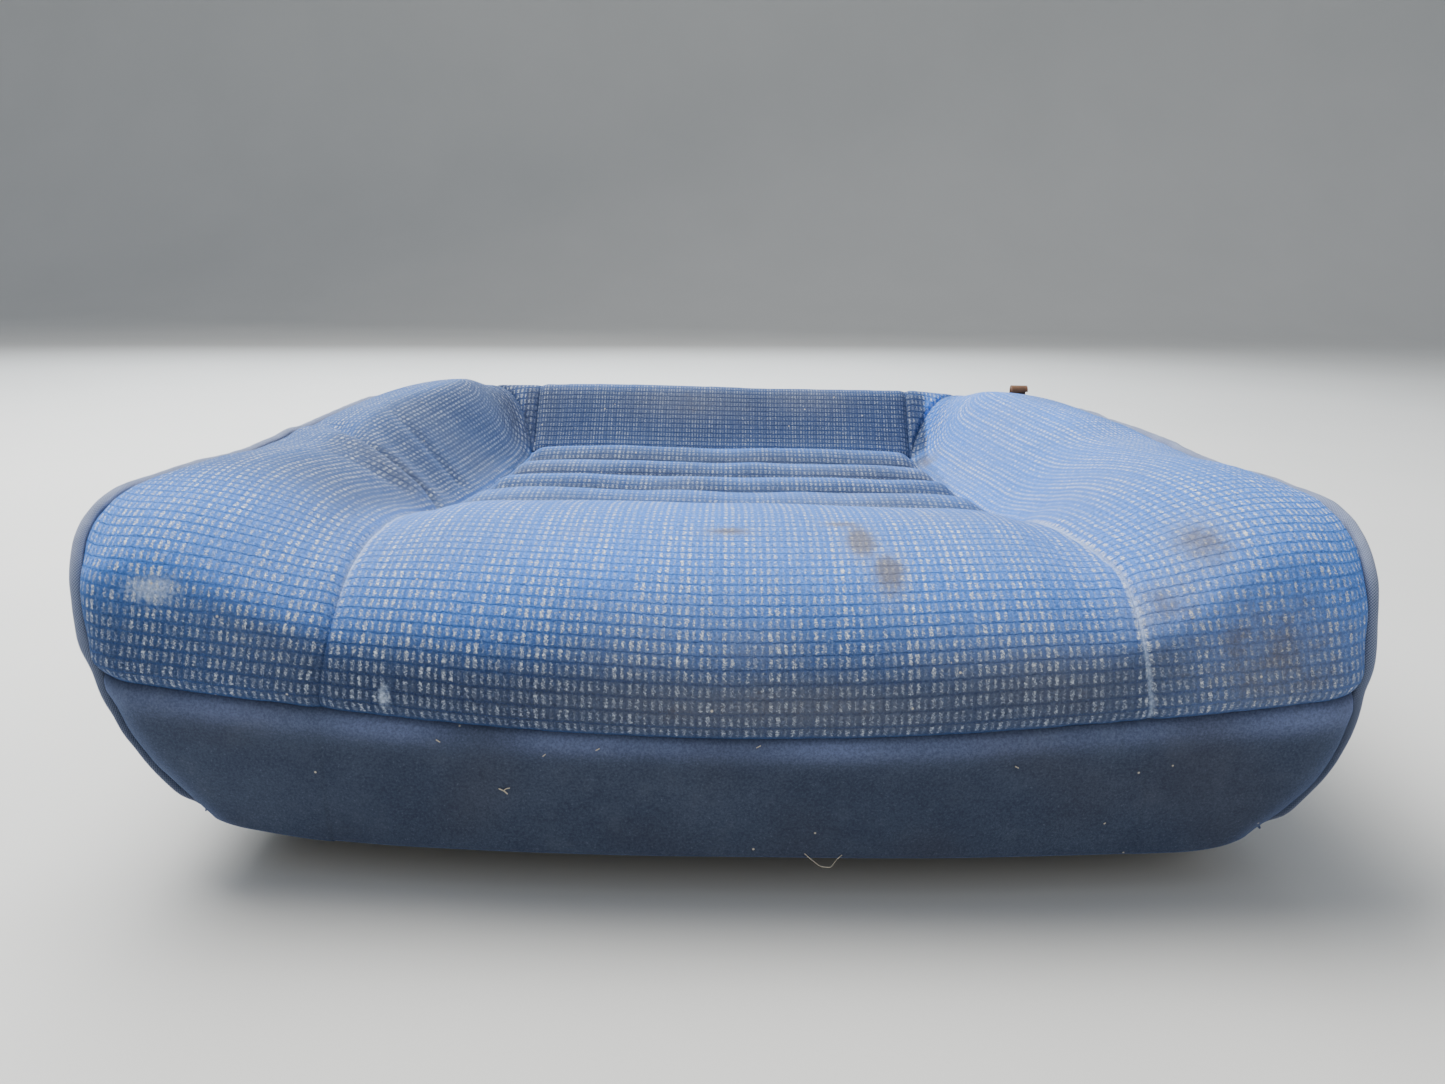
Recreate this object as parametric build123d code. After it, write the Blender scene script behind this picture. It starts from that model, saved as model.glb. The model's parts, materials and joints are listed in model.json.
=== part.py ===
"""Car front-seat lower cushion: sprung steel frame, moulded foam pad and sewn cloth cover.

Millimetres. +X to the sitter's left as seen from the front (the viewer's right), +Y to the rear, +Z up.
The origin is on the floor plane, at the centre of the cushion's footprint.
"""
from build123d import *
import os
from math import atan2, degrees, hypot

# ---------------------------------------------------------------- driving dimensions
HEM_Z = 18.0            # lowest edge of the sewn cover above the floor
COVER_T = 2.5           # cover cloth with its laminated backing
FLUTE_T = 8.0           # sewn-in wadding under the fluted insert
TOP_LIMIT = 190.0       # well above the crown; the top surface trims to it

# Plan sections of the cushion body: height, half width, front y, rear y, rear corner radius.
BODY_SECTIONS = (
    (HEM_Z, 207.0, -243.0, 232.0, 36.0),
    (52.0, 236.0, -247.0, 241.0, 40.0),
    (85.0, 248.5, -250.0, 245.0, 44.0),
    (119.0, 256.0, -247.0, 247.0, 46.0),
    (150.0, 254.0, -238.0, 246.0, 46.0),
    (TOP_LIMIT, 246.0, -226.0, 240.0, 46.0),
)
FRONT_CORNER_R = 22.0
FRONT_BOW = 14.0        # how far the front's middle stands ahead of its corners
REAR_BOW = 4.0

# Height of the top along the middle of the seat, and along the bolster crowns, as (y, z).
MIDDLE_PROFILE = (
    (-300, 78), (-250, 94), (-236, 109), (-215, 123), (-190, 131), (-160, 135), (-120, 132), (-80, 124),
    (-40, 113), (0, 106), (60, 103), (120, 103), (180, 106), (200, 114), (220, 131), (240, 145), (300, 148),
)
CROWN_PROFILE = (
    (-300, 100), (-250, 118), (-236, 131), (-215, 144), (-190, 151), (-165, 154), (-120, 152), (-80, 148),
    (-40, 145), (0, 144), (60, 148), (120, 151), (180, 152), (220, 150), (240, 146), (300, 138),
)
BOLSTER_FOOT_X = 138.0  # where the bolster starts to rise
CROWN_X = 216.0         # the bolster's crown
EDGE_X = 258.0          # the outer edge
EDGE_DROP = 10.0        # how far the top falls from the crown to the outer edge

# Seams, in plan.
THIGH_SEAM_Y = -40.0    # thigh panel to fluted insert
RISER_SEAM_Y = 190.0    # fluted insert to rear riser
FRONT_SEAM_X = 150.0    # thigh panel to bolster
REAR_SEAM_X = 138.0     # fluted insert and riser to bolster
GUSSET_TOP_X = 176.0    # outer end of the riser's corner gusset at the top
VALANCE_Z = 74.0        # seam between the patterned cloth and the plain valance
SKIRT_TOP_Z = 139.0     # seam between bolster and side skirt, under the piping

# The piping on the right side: up the front corner, then back along the bolster's edge.
PIPING_D = 6.0
PIPING_POINTS = (
    (212.5, -217, 24), (236, -221.5, 56), (252, -223.5, 97), (255, -221, 126), (251, -182, 147),
    (253.5, -60, 141), (254, 60, 142), (253.5, 150, 142), (252.5, 206, 142),
)
PIPING_RADII = (60, 55, 24, 28, 300, 600, 500)

# Frame.
SIDE_X = 178.0          # middle of each side member's web
STEEL_T = 2.0
SIDE_H = 42.0
SIDE_Y = (-196.0, 206.0)
FOOT_W = 30.0           # bottom flange, turned inwards
LIP_W = 12.0            # top flange, turned outwards
BOLT_X = 162.0
BOLT_Y = 150.0
BOLT_R = 4.5            # clearance hole for M8
DOUBLER = (26.0, 34.0, 2.0)
TUBE_D = 22.0
TUBE_Y = 192.0
TUBE_WALL = 1.6
FRONT_RAIL_Y = -196.0   # middle of the front rail's upright face
FRONT_RAIL_Z = 14.0     # its lower edge
LEDGE_W = 44.0
POCKET_GAP = 2.0        # the foam's clearance round the frame
HOOK_X = 225.0
HOOK_W = 12.0
HOOK_FOOT_Z = 11.0
HOOK_TOP_Z = 151.0
HOOK_CURL_R = 4.5

# Springs.
SPRING_XS = (-120.0, -60.0, 0.0, 60.0, 120.0)
SPRING_WIRE = 3.6
SPRING_W = 46.0         # over the loops, to the wire's middle
SPRING_Z = 46.0
SPRING_PITCH = 26.0     # from one cross run to the next
SPRING_RUNS = 12
SPRING_START_Y = -132.0
SPRING_Y = (-166.0, 200.0)
CLIP_W = 14.0
CLIP_TOP_Z = 49.5
FELT_T = 3.0
FELT_X = 150.0
FELT_Y = (-148.0, 172.0)
TIE_WIRE_D = 2.6
TIE_YS = (-58.0, 98.0)

# Wires that hold the cover down and stiffen the bolsters.
TRENCH_W = 8.0
TRENCH_Z = 78.0
FOAM_WIRE_D = 2.6
FOAM_WIRE_Z = 81.0
LISTING_WIRE_D = 2.4
LISTING_WIRE_Z = 92.0
SLEEVE_T = 1.0
HOG_WIRE_D = 1.6
HOG_SQUEEZE = 0.42
RING_STEP = 62.0
BOLSTER_WIRE_D = 5.0
BOLSTER_WIRE_Z = 84.0
BOLSTER_WIRE_X = 222.0
HEM_WIRE_D = 3.0
HEM_RING_R = 16.0
STRIP_T = 1.8
STRIP_W = 20.0          # across the side strips, from the frame to the hem

SPRING_BOTTOM = SPRING_Z - SPRING_WIRE / 2
LEDGE_Z = SPRING_BOTTOM - 0.2
TUBE_Z = LEDGE_Z - TUBE_D / 2
HOOK_Y = 248.7            # middle of the strap behind the cushion
FELT_Z = SPRING_Z + SPRING_WIRE / 2 + 0.1
POCKET_Z = FELT_Z + FELT_T + 0.3
POCKET_X = SIDE_X + STEEL_T / 2 + LIP_W + POCKET_GAP
POCKET_Y = (FRONT_RAIL_Y - STEEL_T / 2 - POCKET_GAP - 7.0, SIDE_Y[1] + POCKET_GAP + 6.0)


# ---------------------------------------------------------------- shape helpers
def smooth_profile(points, y):
    """Height at y on a smooth curve (Catmull-Rom) through the profile's points."""
    last = len(points) - 2
    i = max(k for k in range(last + 1) if k == 0 or points[k][0] <= y)
    (y0, z0), (y1, z1) = points[i], points[i + 1]
    before = points[max(i - 1, 0)]
    after = points[min(i + 2, last + 1)]
    slope0 = (z1 - before[1]) / (y1 - before[0])
    slope1 = (after[1] - z0) / (after[0] - y0)
    t, h = (y - y0) / (y1 - y0), y1 - y0
    return (
        (2 * t**3 - 3 * t**2 + 1) * z0 + (t**3 - 2 * t**2 + t) * h * slope0
        + (3 * t**2 - 2 * t**3) * z1 + (t**3 - t**2) * h * slope1
    )


def top_height(x, y):
    """Height of the sewn top at a point of the plan."""
    middle = smooth_profile(MIDDLE_PROFILE, y)
    crown = smooth_profile(CROWN_PROFILE, y)
    s = abs(x)
    rise = min(max((s - BOLSTER_FOOT_X) / (CROWN_X - BOLSTER_FOOT_X), 0), 1)
    blend = rise * rise * (3 - 2 * rise)
    fall = max((s - CROWN_X) / (EDGE_X - CROWN_X), 0)
    return middle + (crown - middle) * blend - EDGE_DROP * fall * fall


def plan_section(z, half_w, front, rear, corner, inset):
    """One level of the body: a rounded rectangle with a bowed front and rear."""
    x, y0, y1 = half_w - inset, front + inset, rear - inset
    side_front, side_rear = y0 + FRONT_BOW, y1 - REAR_BOW
    with BuildSketch(Plane.XY.offset(z)) as sk:
        with BuildLine():
            ThreePointArc((-x, side_front), (0, y0), (x, side_front))
            Line((x, side_front), (x, side_rear))
            ThreePointArc((x, side_rear), (0, y1), (-x, side_rear))
            Line((-x, side_rear), (-x, side_front))
        make_face()
        fillet(sk.vertices().sort_by(Axis.Y)[:2], FRONT_CORNER_R - inset)
        fillet(sk.vertices().sort_by(Axis.Y)[-2:], corner - inset)
    return sk.sketch.faces()[0]


def cushion_form(inset):
    """The cushion's solid shape, taken in by inset on every side, top and bottom."""
    sections = [plan_section(*s, inset) for s in BODY_SECTIONS]
    body = loft(sections)
    xs = [-300 + 12 * i for i in range(51)]
    ys = [-296 + 12 * i for i in range(50)]
    grid = [[Vector(x, y, top_height(x, y) - inset) for y in ys] for x in xs]
    top = Face.make_surface_from_array_of_points(grid, tol=0.05, min_deg=3, max_deg=5)
    below_top = extrude(top, amount=200, dir=(0, 0, -1))
    above_hem = Pos(0, 0, HEM_Z + inset) * Box(700, 700, 400, align=(Align.CENTER, Align.CENTER, Align.MIN))
    return (body & below_top & above_hem).solids()[0]


def prism(points, z0=0.0, z1=TOP_LIMIT + 20):
    """A straight-sided block over a plan polygon."""
    return Pos(0, 0, z0) * extrude(make_face(Polyline(*points, close=True)), amount=z1 - z0, dir=(0, 0, 1))


def profile_bar(points, x0, x1):
    """A bar along X whose end view (y, z) is the polygon given."""
    outline = make_face(Polyline(*[(x0, y, z) for y, z in points], close=True))
    return extrude(outline, amount=x1 - x0, dir=(1, 0, 0))


def profile_rail(points, y0, y1):
    """A bar along Y whose end view (x, z) is the polygon given."""
    outline = make_face(Polyline(*[(x, y0, z) for x, z in points], close=True))
    return extrude(outline, amount=y1 - y0, dir=(0, 1, 0))


def rod(start, end, diameter):
    """A straight round wire between two points."""
    a, b = Vector(*start), Vector(*end)
    plane = Plane(origin=a, z_dir=b - a)
    return extrude(plane * Circle(diameter / 2), amount=(b - a).length)


def wire(points, radii, diameter):
    """A bent round wire: straight runs joined by tangent arcs."""
    path = FilletPolyline(*points, radius=radii)
    section = Plane(origin=path @ 0, z_dir=path % 0) * Circle(diameter / 2)
    return sweep(section, path=path)


def both_sides(shape_right):
    """The right-hand shape and its mirror image, as (left, right)."""
    return mirror(shape_right, about=Plane.YZ), shape_right


# ---------------------------------------------------------------- sewn cover
def seam_x(y):
    """Half width of the middle panels at y, along the bolster seam."""
    share = (y - THIGH_SEAM_Y) / (RISER_SEAM_Y - THIGH_SEAM_Y)
    return FRONT_SEAM_X + (REAR_SEAM_X - FRONT_SEAM_X) * min(max(share, 0), 1)


def skirt_region():
    """Space that holds the right side skirt: outside, bounded by the piping in front and on top."""
    top = SKIRT_TOP_Z + 12
    outside = profile_rail([(168, 0), (240, SKIRT_TOP_Z), (246, top), (320, top), (320, 0)], -300, 300)
    path = FilletPolyline(*PIPING_POINTS, radius=PIPING_RADII)
    edge = [path @ (i / 80) for i in range(81)]
    rear_corner = [(226, PIPING_POINTS[-1][2]), (206, 0)]
    behind_piping = profile_bar([(-214, 0), *[(p.Y, p.Z) for p in edge], *rear_corner], 100, 320)
    return outside & behind_piping


def cover_panels(outer, inner):
    """The sewn cover's middle and left-hand panels, by node name."""
    cover = outer - inner - frame_pocket()
    skirts = both_sides(skirt_region())
    rear = profile_bar([(200, 0), (236, SKIRT_TOP_Z), (300, SKIRT_TOP_Z), (300, 0)], -300, 300)
    valance = Pos(0, -250, 0) * Box(700, 140, 2 * VALANCE_Z)
    panels = {
        "side_skirt_left": cover & skirts[0],
        "rear_skirt": (cover & rear) - skirts[0] - skirts[1],
        "front_valance": (cover & valance) - skirts[0] - skirts[1],
    }
    top = cover - skirts[0] - skirts[1] - rear - valance
    thigh = [(-FRONT_SEAM_X, -300), (FRONT_SEAM_X, -300), (FRONT_SEAM_X, THIGH_SEAM_Y), (-FRONT_SEAM_X, THIGH_SEAM_Y)]
    insert = [(-FRONT_SEAM_X, THIGH_SEAM_Y), (FRONT_SEAM_X, THIGH_SEAM_Y),
              (REAR_SEAM_X, RISER_SEAM_Y), (-REAR_SEAM_X, RISER_SEAM_Y)]
    riser = [(-REAR_SEAM_X, RISER_SEAM_Y), (REAR_SEAM_X, RISER_SEAM_Y), (REAR_SEAM_X, 300), (-REAR_SEAM_X, 300)]
    gusset = [(REAR_SEAM_X, RISER_SEAM_Y), (GUSSET_TOP_X, 240), (GUSSET_TOP_X + 6, 300), (REAR_SEAM_X, 300)]
    bolster = [(FRONT_SEAM_X, -300), (320, -300), (320, 300), (GUSSET_TOP_X + 6, 300), (GUSSET_TOP_X, 240),
               (REAR_SEAM_X, RISER_SEAM_Y), (FRONT_SEAM_X, THIGH_SEAM_Y)]
    panels["thigh_panel"] = top & prism(thigh)
    panels["fluted_insert"] = top & prism(insert)
    panels["rear_riser"] = top & prism(riser)
    panels["riser_gusset_left"] = top & mirror(prism(gusset), about=Plane.YZ)
    panels["bolster_left"] = top & mirror(prism(bolster), about=Plane.YZ)
    return panels


def piping():
    """The welt in the seam round each side."""
    return both_sides(wire(PIPING_POINTS, PIPING_RADII, PIPING_D))


def hem_strips():
    """Plastic J-strips, sewn to the cover's hem and hooked over the frame's edges."""
    y, t, z = FRONT_RAIL_Y - STEEL_T / 2, STRIP_T, FRONT_RAIL_Z
    hook = [(y - 7, HEM_Z), (y - 7, z - 5), (y + 2.5 + t, z - 5), (y + 2.5 + t, z + 6), (y + 2.5, z + 6),
            (y + 2.5, z - 5 + t), (y - 7 + t, z - 5 + t), (y - 7 + t, HEM_Z)]
    x, low = SIDE_X + STEEL_T / 2 + 0.2, HEM_Z - 8
    clamp = [(x, low), (x + STRIP_W, low), (x + STRIP_W, HEM_Z), (x + STRIP_W - t, HEM_Z), (x + STRIP_W - t, low + t),
             (x + t, low + t), (x + t, HEM_Z + 8), (x, HEM_Z + 8)]
    left, right = both_sides(profile_rail(clamp, -170, 178))
    return {
        "front_hem_strip": profile_bar(hook, -150, 150),
        "side_hem_strip_left": left,
        "side_hem_strip_right": right,
    }


def rear_hem():
    """Wire in the rear skirt's hem, and the rings that pull it to the rear tube."""
    y, z = TUBE_Y + 14.5, TUBE_Z - 8.7
    rings = [
        Pos(x, TUBE_Y + 3, TUBE_Z - 2) * Rot(0, 90, 0) * Torus(HEM_RING_R, 1.0)
        for x in (-90, -30, 30, 90)
    ]
    return rod((-165, y, z), (165, y, z), HEM_WIRE_D), Compound(children=rings)


# ---------------------------------------------------------------- foam, felt and buried wires
def trench_lines():
    """Plan lines of the foam's tie-down trenches, by side, as (start, end)."""
    return {
        "front": ((-136, THIGH_SEAM_Y), (136, THIGH_SEAM_Y)),
        "rear": ((-124, RISER_SEAM_Y), (124, RISER_SEAM_Y)),
        "left": ((-seam_x(-30), -30), (-seam_x(180), 180)),
        "right": ((seam_x(-30), -30), (seam_x(180), 180)),
    }


def slab(start, end, width, z0, z1):
    """An upright slab over a plan line."""
    (x0, y0), (x1, y1) = start, end
    block = Box(hypot(x1 - x0, y1 - y0), width, z1 - z0, align=(Align.CENTER, Align.CENTER, Align.MIN))
    return Pos((x0 + x1) / 2, (y0 + y1) / 2, z0) * Rot(0, 0, degrees(atan2(y1 - y0, x1 - x0))) * block


def ring_spots(start, end):
    """Evenly spaced plan points for the hog rings on a trench line, and the line's angle."""
    (x0, y0), (x1, y1) = start, end
    length = hypot(x1 - x0, y1 - y0)
    count = int((length - 30) // RING_STEP) + 1
    first = (length - (count - 1) * RING_STEP) / 2
    ux, uy = (x1 - x0) / length, (y1 - y0) / length
    spots = [(x0 + ux * (first + k * RING_STEP), y0 + uy * (first + k * RING_STEP)) for k in range(count)]
    return spots, degrees(atan2(uy, ux))


def trench_wires():
    """Along each trench: the wire moulded in the foam, and the listing wire in the cover's sleeve above it."""
    made = {}
    for side, ((x0, y0), (x1, y1)) in trench_lines().items():
        low, high = FOAM_WIRE_Z, LISTING_WIRE_Z
        made[f"foam_wire_{side}"] = rod((x0, y0, low), (x1, y1, low), FOAM_WIRE_D)
        made[f"listing_wire_{side}"] = rod((x0, y0, high), (x1, y1, high), LISTING_WIRE_D)
    return made


def hog_rings():
    """Flattened rings that tie each listing wire to the wire moulded in the foam below it."""
    middle = (LISTING_WIRE_Z + FOAM_WIRE_Z) / 2
    reach = (LISTING_WIRE_Z - FOAM_WIRE_Z) / 2 + (FOAM_WIRE_D + HOG_WIRE_D) / 2 + 0.1
    half = reach * HOG_SQUEEZE
    straight = reach - half
    bend = Rot(0, 90, 0) * Torus(half, HOG_WIRE_D / 2)
    above = Box(3 * reach, 3 * reach, 3 * reach, align=(Align.CENTER, Align.CENTER, Align.MIN))
    cap = Pos(0, 0, straight) * (bend & above)
    legs = [Pos(0, y, 0) * Cylinder(HOG_WIRE_D / 2, 2 * straight) for y in (-half, half)]
    ring = cap + mirror(cap, about=Plane.XY) + legs[0] + legs[1]
    rings = []
    for start, end in trench_lines().values():
        spots, angle = ring_spots(start, end)
        rings += [Pos(x, y, middle) * Rot(0, 0, angle) * ring for x, y in spots]
    return Compound(children=rings)


def listing_sleeves():
    """Cloth strips sewn under each seam, between the hog rings, that hold the listing wires."""
    sleeves = []
    z0 = LISTING_WIRE_Z + LISTING_WIRE_D / 2 + 0.1
    for start, end in trench_lines().values():
        spots, _ = ring_spots(start, end)
        for (xa, ya), (xb, yb) in zip(spots, spots[1:]):
            mx, my = (xa + xb) / 2, (ya + yb) / 2
            share = 1 - 10 / RING_STEP
            a = (mx + (xa - mx) * share, my + (ya - my) * share)
            b = (mx + (xb - mx) * share, my + (yb - my) * share)
            z1 = min(top_height(*p) for p in (a, b, (mx, my))) - COVER_T - 1.0
            sleeves.append(slab(a, b, SLEEVE_T, z0, z1))
    return Compound(children=sleeves)


def bolster_wires():
    """Rods that stiffen the bolsters, moulded into the foam and standing on the side members' lips."""
    foot_x, foot_z, knee_z = SIDE_X + 7, SIDE_H + 0.2, 62
    y0, y1, x, z = -150, 160, BOLSTER_WIRE_X, BOLSTER_WIRE_Z
    points = [(foot_x, y0, foot_z), (foot_x, y0, knee_z), (x, y0, z), (x, y1, z), (foot_x, y1, knee_z),
              (foot_x, y1, foot_z)]
    return both_sides(wire(points, [8, 14, 14, 8], BOLSTER_WIRE_D))


def frame_pocket():
    """The space in the foam's underside that the frame sits in."""
    y0, y1 = POCKET_Y
    return Pos(0, (y0 + y1) / 2, 0) * Box(2 * POCKET_X, y1 - y0, 2 * POCKET_Z)


def wadding(inner):
    """Soft layer sewn behind the fluted insert, on top of the moulded foam."""
    gap = TRENCH_W / 2 + 0.3
    front, rear = THIGH_SEAM_Y + gap, RISER_SEAM_Y - gap
    outline = [(-FRONT_SEAM_X + gap, front), (FRONT_SEAM_X - gap, front),
               (REAR_SEAM_X - gap, rear), (-REAR_SEAM_X + gap, rear)]
    core = inner & prism(outline, z0=90)
    return core - Pos(0, 0, -FLUTE_T) * inner


def foam_pad(inner, layer, buried):
    """The moulded foam: body, frame pocket, tie-down trenches, and room for the wadding and the buried rods."""
    pad = inner - frame_pocket() - layer
    for start, end in trench_lines().values():
        pad -= slab(start, end, TRENCH_W, TRENCH_Z, TOP_LIMIT)
    for piece in buried:
        pad -= piece
    return pad.solids().sort_by(SortBy.VOLUME)[-1]


def felt_pad():
    """Felt between the springs and the foam."""
    x, (y0, y1) = FELT_X, FELT_Y
    return Pos(0, (y0 + y1) / 2, FELT_Z + FELT_T / 2) * Box(2 * x, y1 - y0, FELT_T)


# ---------------------------------------------------------------- frame
def side_members():
    """Pressed side rails: upright web, foot flange turned in, lip turned out, bolt holes in the foot."""
    h, t = SIDE_H, STEEL_T
    x_in, x_out = SIDE_X - t / 2, SIDE_X + t / 2
    outline = [(x_in - FOOT_W, 0), (x_out, 0), (x_out, h - t), (x_out + LIP_W, h - t), (x_out + LIP_W, h),
               (x_in, h), (x_in, t), (x_in - FOOT_W, t)]
    rail = profile_rail(outline, *SIDE_Y)
    for y in (-BOLT_Y, BOLT_Y):
        rail -= Pos(BOLT_X, y, 0) * Cylinder(BOLT_R, 20)
    return both_sides(rail)


def doubler_plates():
    """Plates spot-welded over each bolt hole, on the foot flanges."""
    w, d, t = DOUBLER
    plate = Box(w, d, t) - Cylinder(BOLT_R, 20)
    return Compound(children=[
        Pos(x, y, STEEL_T + t / 2) * plate for x in (-BOLT_X, BOLT_X) for y in (-BOLT_Y, BOLT_Y)
    ])


def front_rail():
    """Pressed front cross member: upright face, top ledge under the thigh foam, and a lip turned down."""
    y0, t, top, lip = FRONT_RAIL_Y - STEEL_T / 2, STEEL_T, LEDGE_Z, 14
    y1 = y0 + LEDGE_W
    outline = [(y0, FRONT_RAIL_Z), (y0 + t, FRONT_RAIL_Z), (y0 + t, top - t), (y1 - t, top - t), (y1 - t, top - lip),
               (y1, top - lip), (y1, top), (y0, top)]
    x = SIDE_X - STEEL_T / 2
    return profile_bar(outline, -x, x)


def rear_tube():
    """Round cross tube at the rear, welded between the side members."""
    x = SIDE_X - STEEL_T / 2
    ring = Circle(TUBE_D / 2) - Circle(TUBE_D / 2 - TUBE_WALL)
    return extrude(Plane(origin=(-x, TUBE_Y, TUBE_Z), z_dir=(1, 0, 0)) * ring, amount=2 * x)


def hook_tab():
    """Steel strap from the right side member, under the hem and up behind the cushion to a curled tip."""
    x, y, w, t, z = HOOK_X, HOOK_Y, HOOK_W, STEEL_T, HOOK_FOOT_Z
    r = HOOK_CURL_R
    web = SIDE_X + STEEL_T / 2
    plate = Pos((web + x + w / 2) / 2, 192, z) * Box(x + w / 2 - web, 20, t)
    arm = Pos(x, (182 + y + t / 2) / 2, z) * Box(w, y + t / 2 - 182, t)
    top = HOOK_TOP_Z - r
    upright = Pos(x, y, (z + top) / 2) * Box(w, t, top - z)
    ring = Cylinder(r, w, rotation=(0, 90, 0)) - Cylinder(r - t, w + 2, rotation=(0, 90, 0))
    curl = Pos(x, y + t / 2 - r, top) * (ring - Pos(0, 0, -r) * Box(w + 4, 3 * r, 2 * r))
    return plate + arm + upright + curl


def spring_path(x):
    """A zigzag seat spring's corner points, front to rear: cross runs joined by loops, straight at the ends."""
    half, last = SPRING_W / 2, SPRING_RUNS - 1
    points = [(x, SPRING_Y[0], SPRING_Z)]
    for run in range(SPRING_RUNS):
        y = SPRING_START_Y + run * SPRING_PITCH
        side = 1 if run % 2 == 0 else -1
        points.append((x - side * half if run else x, y, SPRING_Z))
        points.append((x + side * half if run < last else x, y, SPRING_Z))
    points.append((x, SPRING_Y[1], SPRING_Z))
    return points


def springs():
    """Every seat spring, by node name."""
    return {
        f"seat_spring_{number}": wire(spring_path(x), SPRING_PITCH / 2 - 1, SPRING_WIRE)
        for number, x in enumerate(SPRING_XS, 1)
    }


def spring_clips():
    """Nylon clips that hold the springs' ends: on the front rail's lip, and round the rear tube."""
    w, seat = CLIP_W, SPRING_WIRE / 2 + 0.05
    lip_y = FRONT_RAIL_Y - STEEL_T / 2 + LEDGE_W
    block = Pos(0, lip_y - 6, (LEDGE_Z + CLIP_TOP_Z) / 2) * Box(w, 16, CLIP_TOP_Z - LEDGE_Z)
    hook = Pos(0, lip_y + 1, LEDGE_Z - 3) * Box(w, 2, 6 + 2 * CLIP_TOP_Z - 2 * LEDGE_Z)
    front = block + (hook & Pos(0, 0, CLIP_TOP_Z - 50) * Box(100, 800, 100))
    outer, inner = CLIP_TOP_Z - TUBE_Z, TUBE_D / 2 + 0.05
    band = Cylinder(outer, w, rotation=(0, 90, 0)) - Cylinder(inner, w + 2, rotation=(0, 90, 0))
    gap = Rot(50, 0, 0) * Pos(0, 0, -outer) * Box(w + 4, outer, 2 * outer)
    rear = Pos(0, TUBE_Y, TUBE_Z) * (band - gap)
    groove = Pos(0, 0, SPRING_Z) * Cylinder(seat, 800, rotation=(90, 0, 0))
    return (
        Compound(children=[Pos(x, 0, 0) * (front - groove) for x in SPRING_XS]),
        Compound(children=[Pos(x, 0, 0) * (rear - groove) for x in SPRING_XS]),
    )


def tie_wires():
    """Straight wires under the springs that hold them side by side."""
    x, z = SIDE_X - STEEL_T / 2 - 0.1, SPRING_BOTTOM - 0.05 - TIE_WIRE_D / 2
    return [rod((-x, y, z), (x, y, z), TIE_WIRE_D) for y in TIE_YS]


def build():
    """All the sub-parts, by node name."""
    outer, inner = cushion_form(0), cushion_form(COVER_T)
    parts = cover_panels(outer, inner)
    cords = piping()
    parts["piping_left"], parts["piping_right"] = cords
    parts["front_valance"] -= cords
    for panel in ("bolster", "side_skirt", "riser_gusset"):
        half = parts[f"{panel}_left"] - cords[0]
        parts[f"{panel}_right"] = mirror(half, about=Plane.YZ)
        parts[f"{panel}_left"] = half
    parts |= hem_strips()
    parts["rear_hem_wire"], parts["rear_hem_rings"] = rear_hem()
    layer = wadding(inner)
    rods = bolster_wires()
    parts["insert_wadding"] = layer
    parts["bolster_wire_left"], parts["bolster_wire_right"] = rods
    parts["foam_pad"] = foam_pad(inner, layer, [*rods, parts["piping_left"], parts["piping_right"]])
    parts |= trench_wires()
    parts["hog_rings"] = hog_rings()
    parts["listing_sleeves"] = listing_sleeves()
    parts["felt_pad"] = felt_pad()
    parts["side_member_left"], parts["side_member_right"] = side_members()
    parts["bolt_doublers"] = doubler_plates()
    parts["front_rail"] = front_rail()
    parts["rear_tube"] = rear_tube()
    parts["rear_hook_tab"] = hook_tab()
    parts |= springs()
    parts["spring_clips_front"], parts["spring_clips_rear"] = spring_clips()
    parts["tie_wire_front"], parts["tie_wire_rear"] = tie_wires()
    return parts


if __name__ == "__main__":
    os.makedirs("parts", exist_ok=True)
    for name, shape in build().items():
        export_step(shape, f"parts/{name}.step")
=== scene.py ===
import json
import math

import bpy
import bmesh
import numpy as np
from mathutils import Matrix, Vector, noise
from mathutils.bvhtree import BVHTree


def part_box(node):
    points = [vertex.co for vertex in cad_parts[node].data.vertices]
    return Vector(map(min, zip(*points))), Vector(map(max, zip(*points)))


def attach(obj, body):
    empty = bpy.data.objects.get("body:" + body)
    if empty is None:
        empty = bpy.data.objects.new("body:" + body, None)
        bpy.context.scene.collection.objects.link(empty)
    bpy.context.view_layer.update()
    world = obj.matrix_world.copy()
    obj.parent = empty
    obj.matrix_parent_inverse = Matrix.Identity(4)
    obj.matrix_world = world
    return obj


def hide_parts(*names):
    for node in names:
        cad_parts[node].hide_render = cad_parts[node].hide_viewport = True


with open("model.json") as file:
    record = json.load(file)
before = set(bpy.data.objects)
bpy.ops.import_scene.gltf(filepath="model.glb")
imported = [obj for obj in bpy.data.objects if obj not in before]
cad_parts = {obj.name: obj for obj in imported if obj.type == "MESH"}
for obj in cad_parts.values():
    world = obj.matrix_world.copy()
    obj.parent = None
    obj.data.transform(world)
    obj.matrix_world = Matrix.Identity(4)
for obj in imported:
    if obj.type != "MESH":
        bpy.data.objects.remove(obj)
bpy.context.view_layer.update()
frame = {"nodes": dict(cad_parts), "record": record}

MM = 0.001


# ------------------------------------------------------------------ camera, light and floor
LENS, SENSOR = 29.2, 36
CAMERA_PLACE = (0, -0.656, 0.247)
CAMERA_DROP, CAMERA_ROLL = 13.94, 1.0
FLOOR_HALF, SWEEP_START, SWEEP_RADIUS, SWEEP_STEPS, WALL_TOP = 6.0, 3.2, 1.2, 24, 3.0


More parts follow.
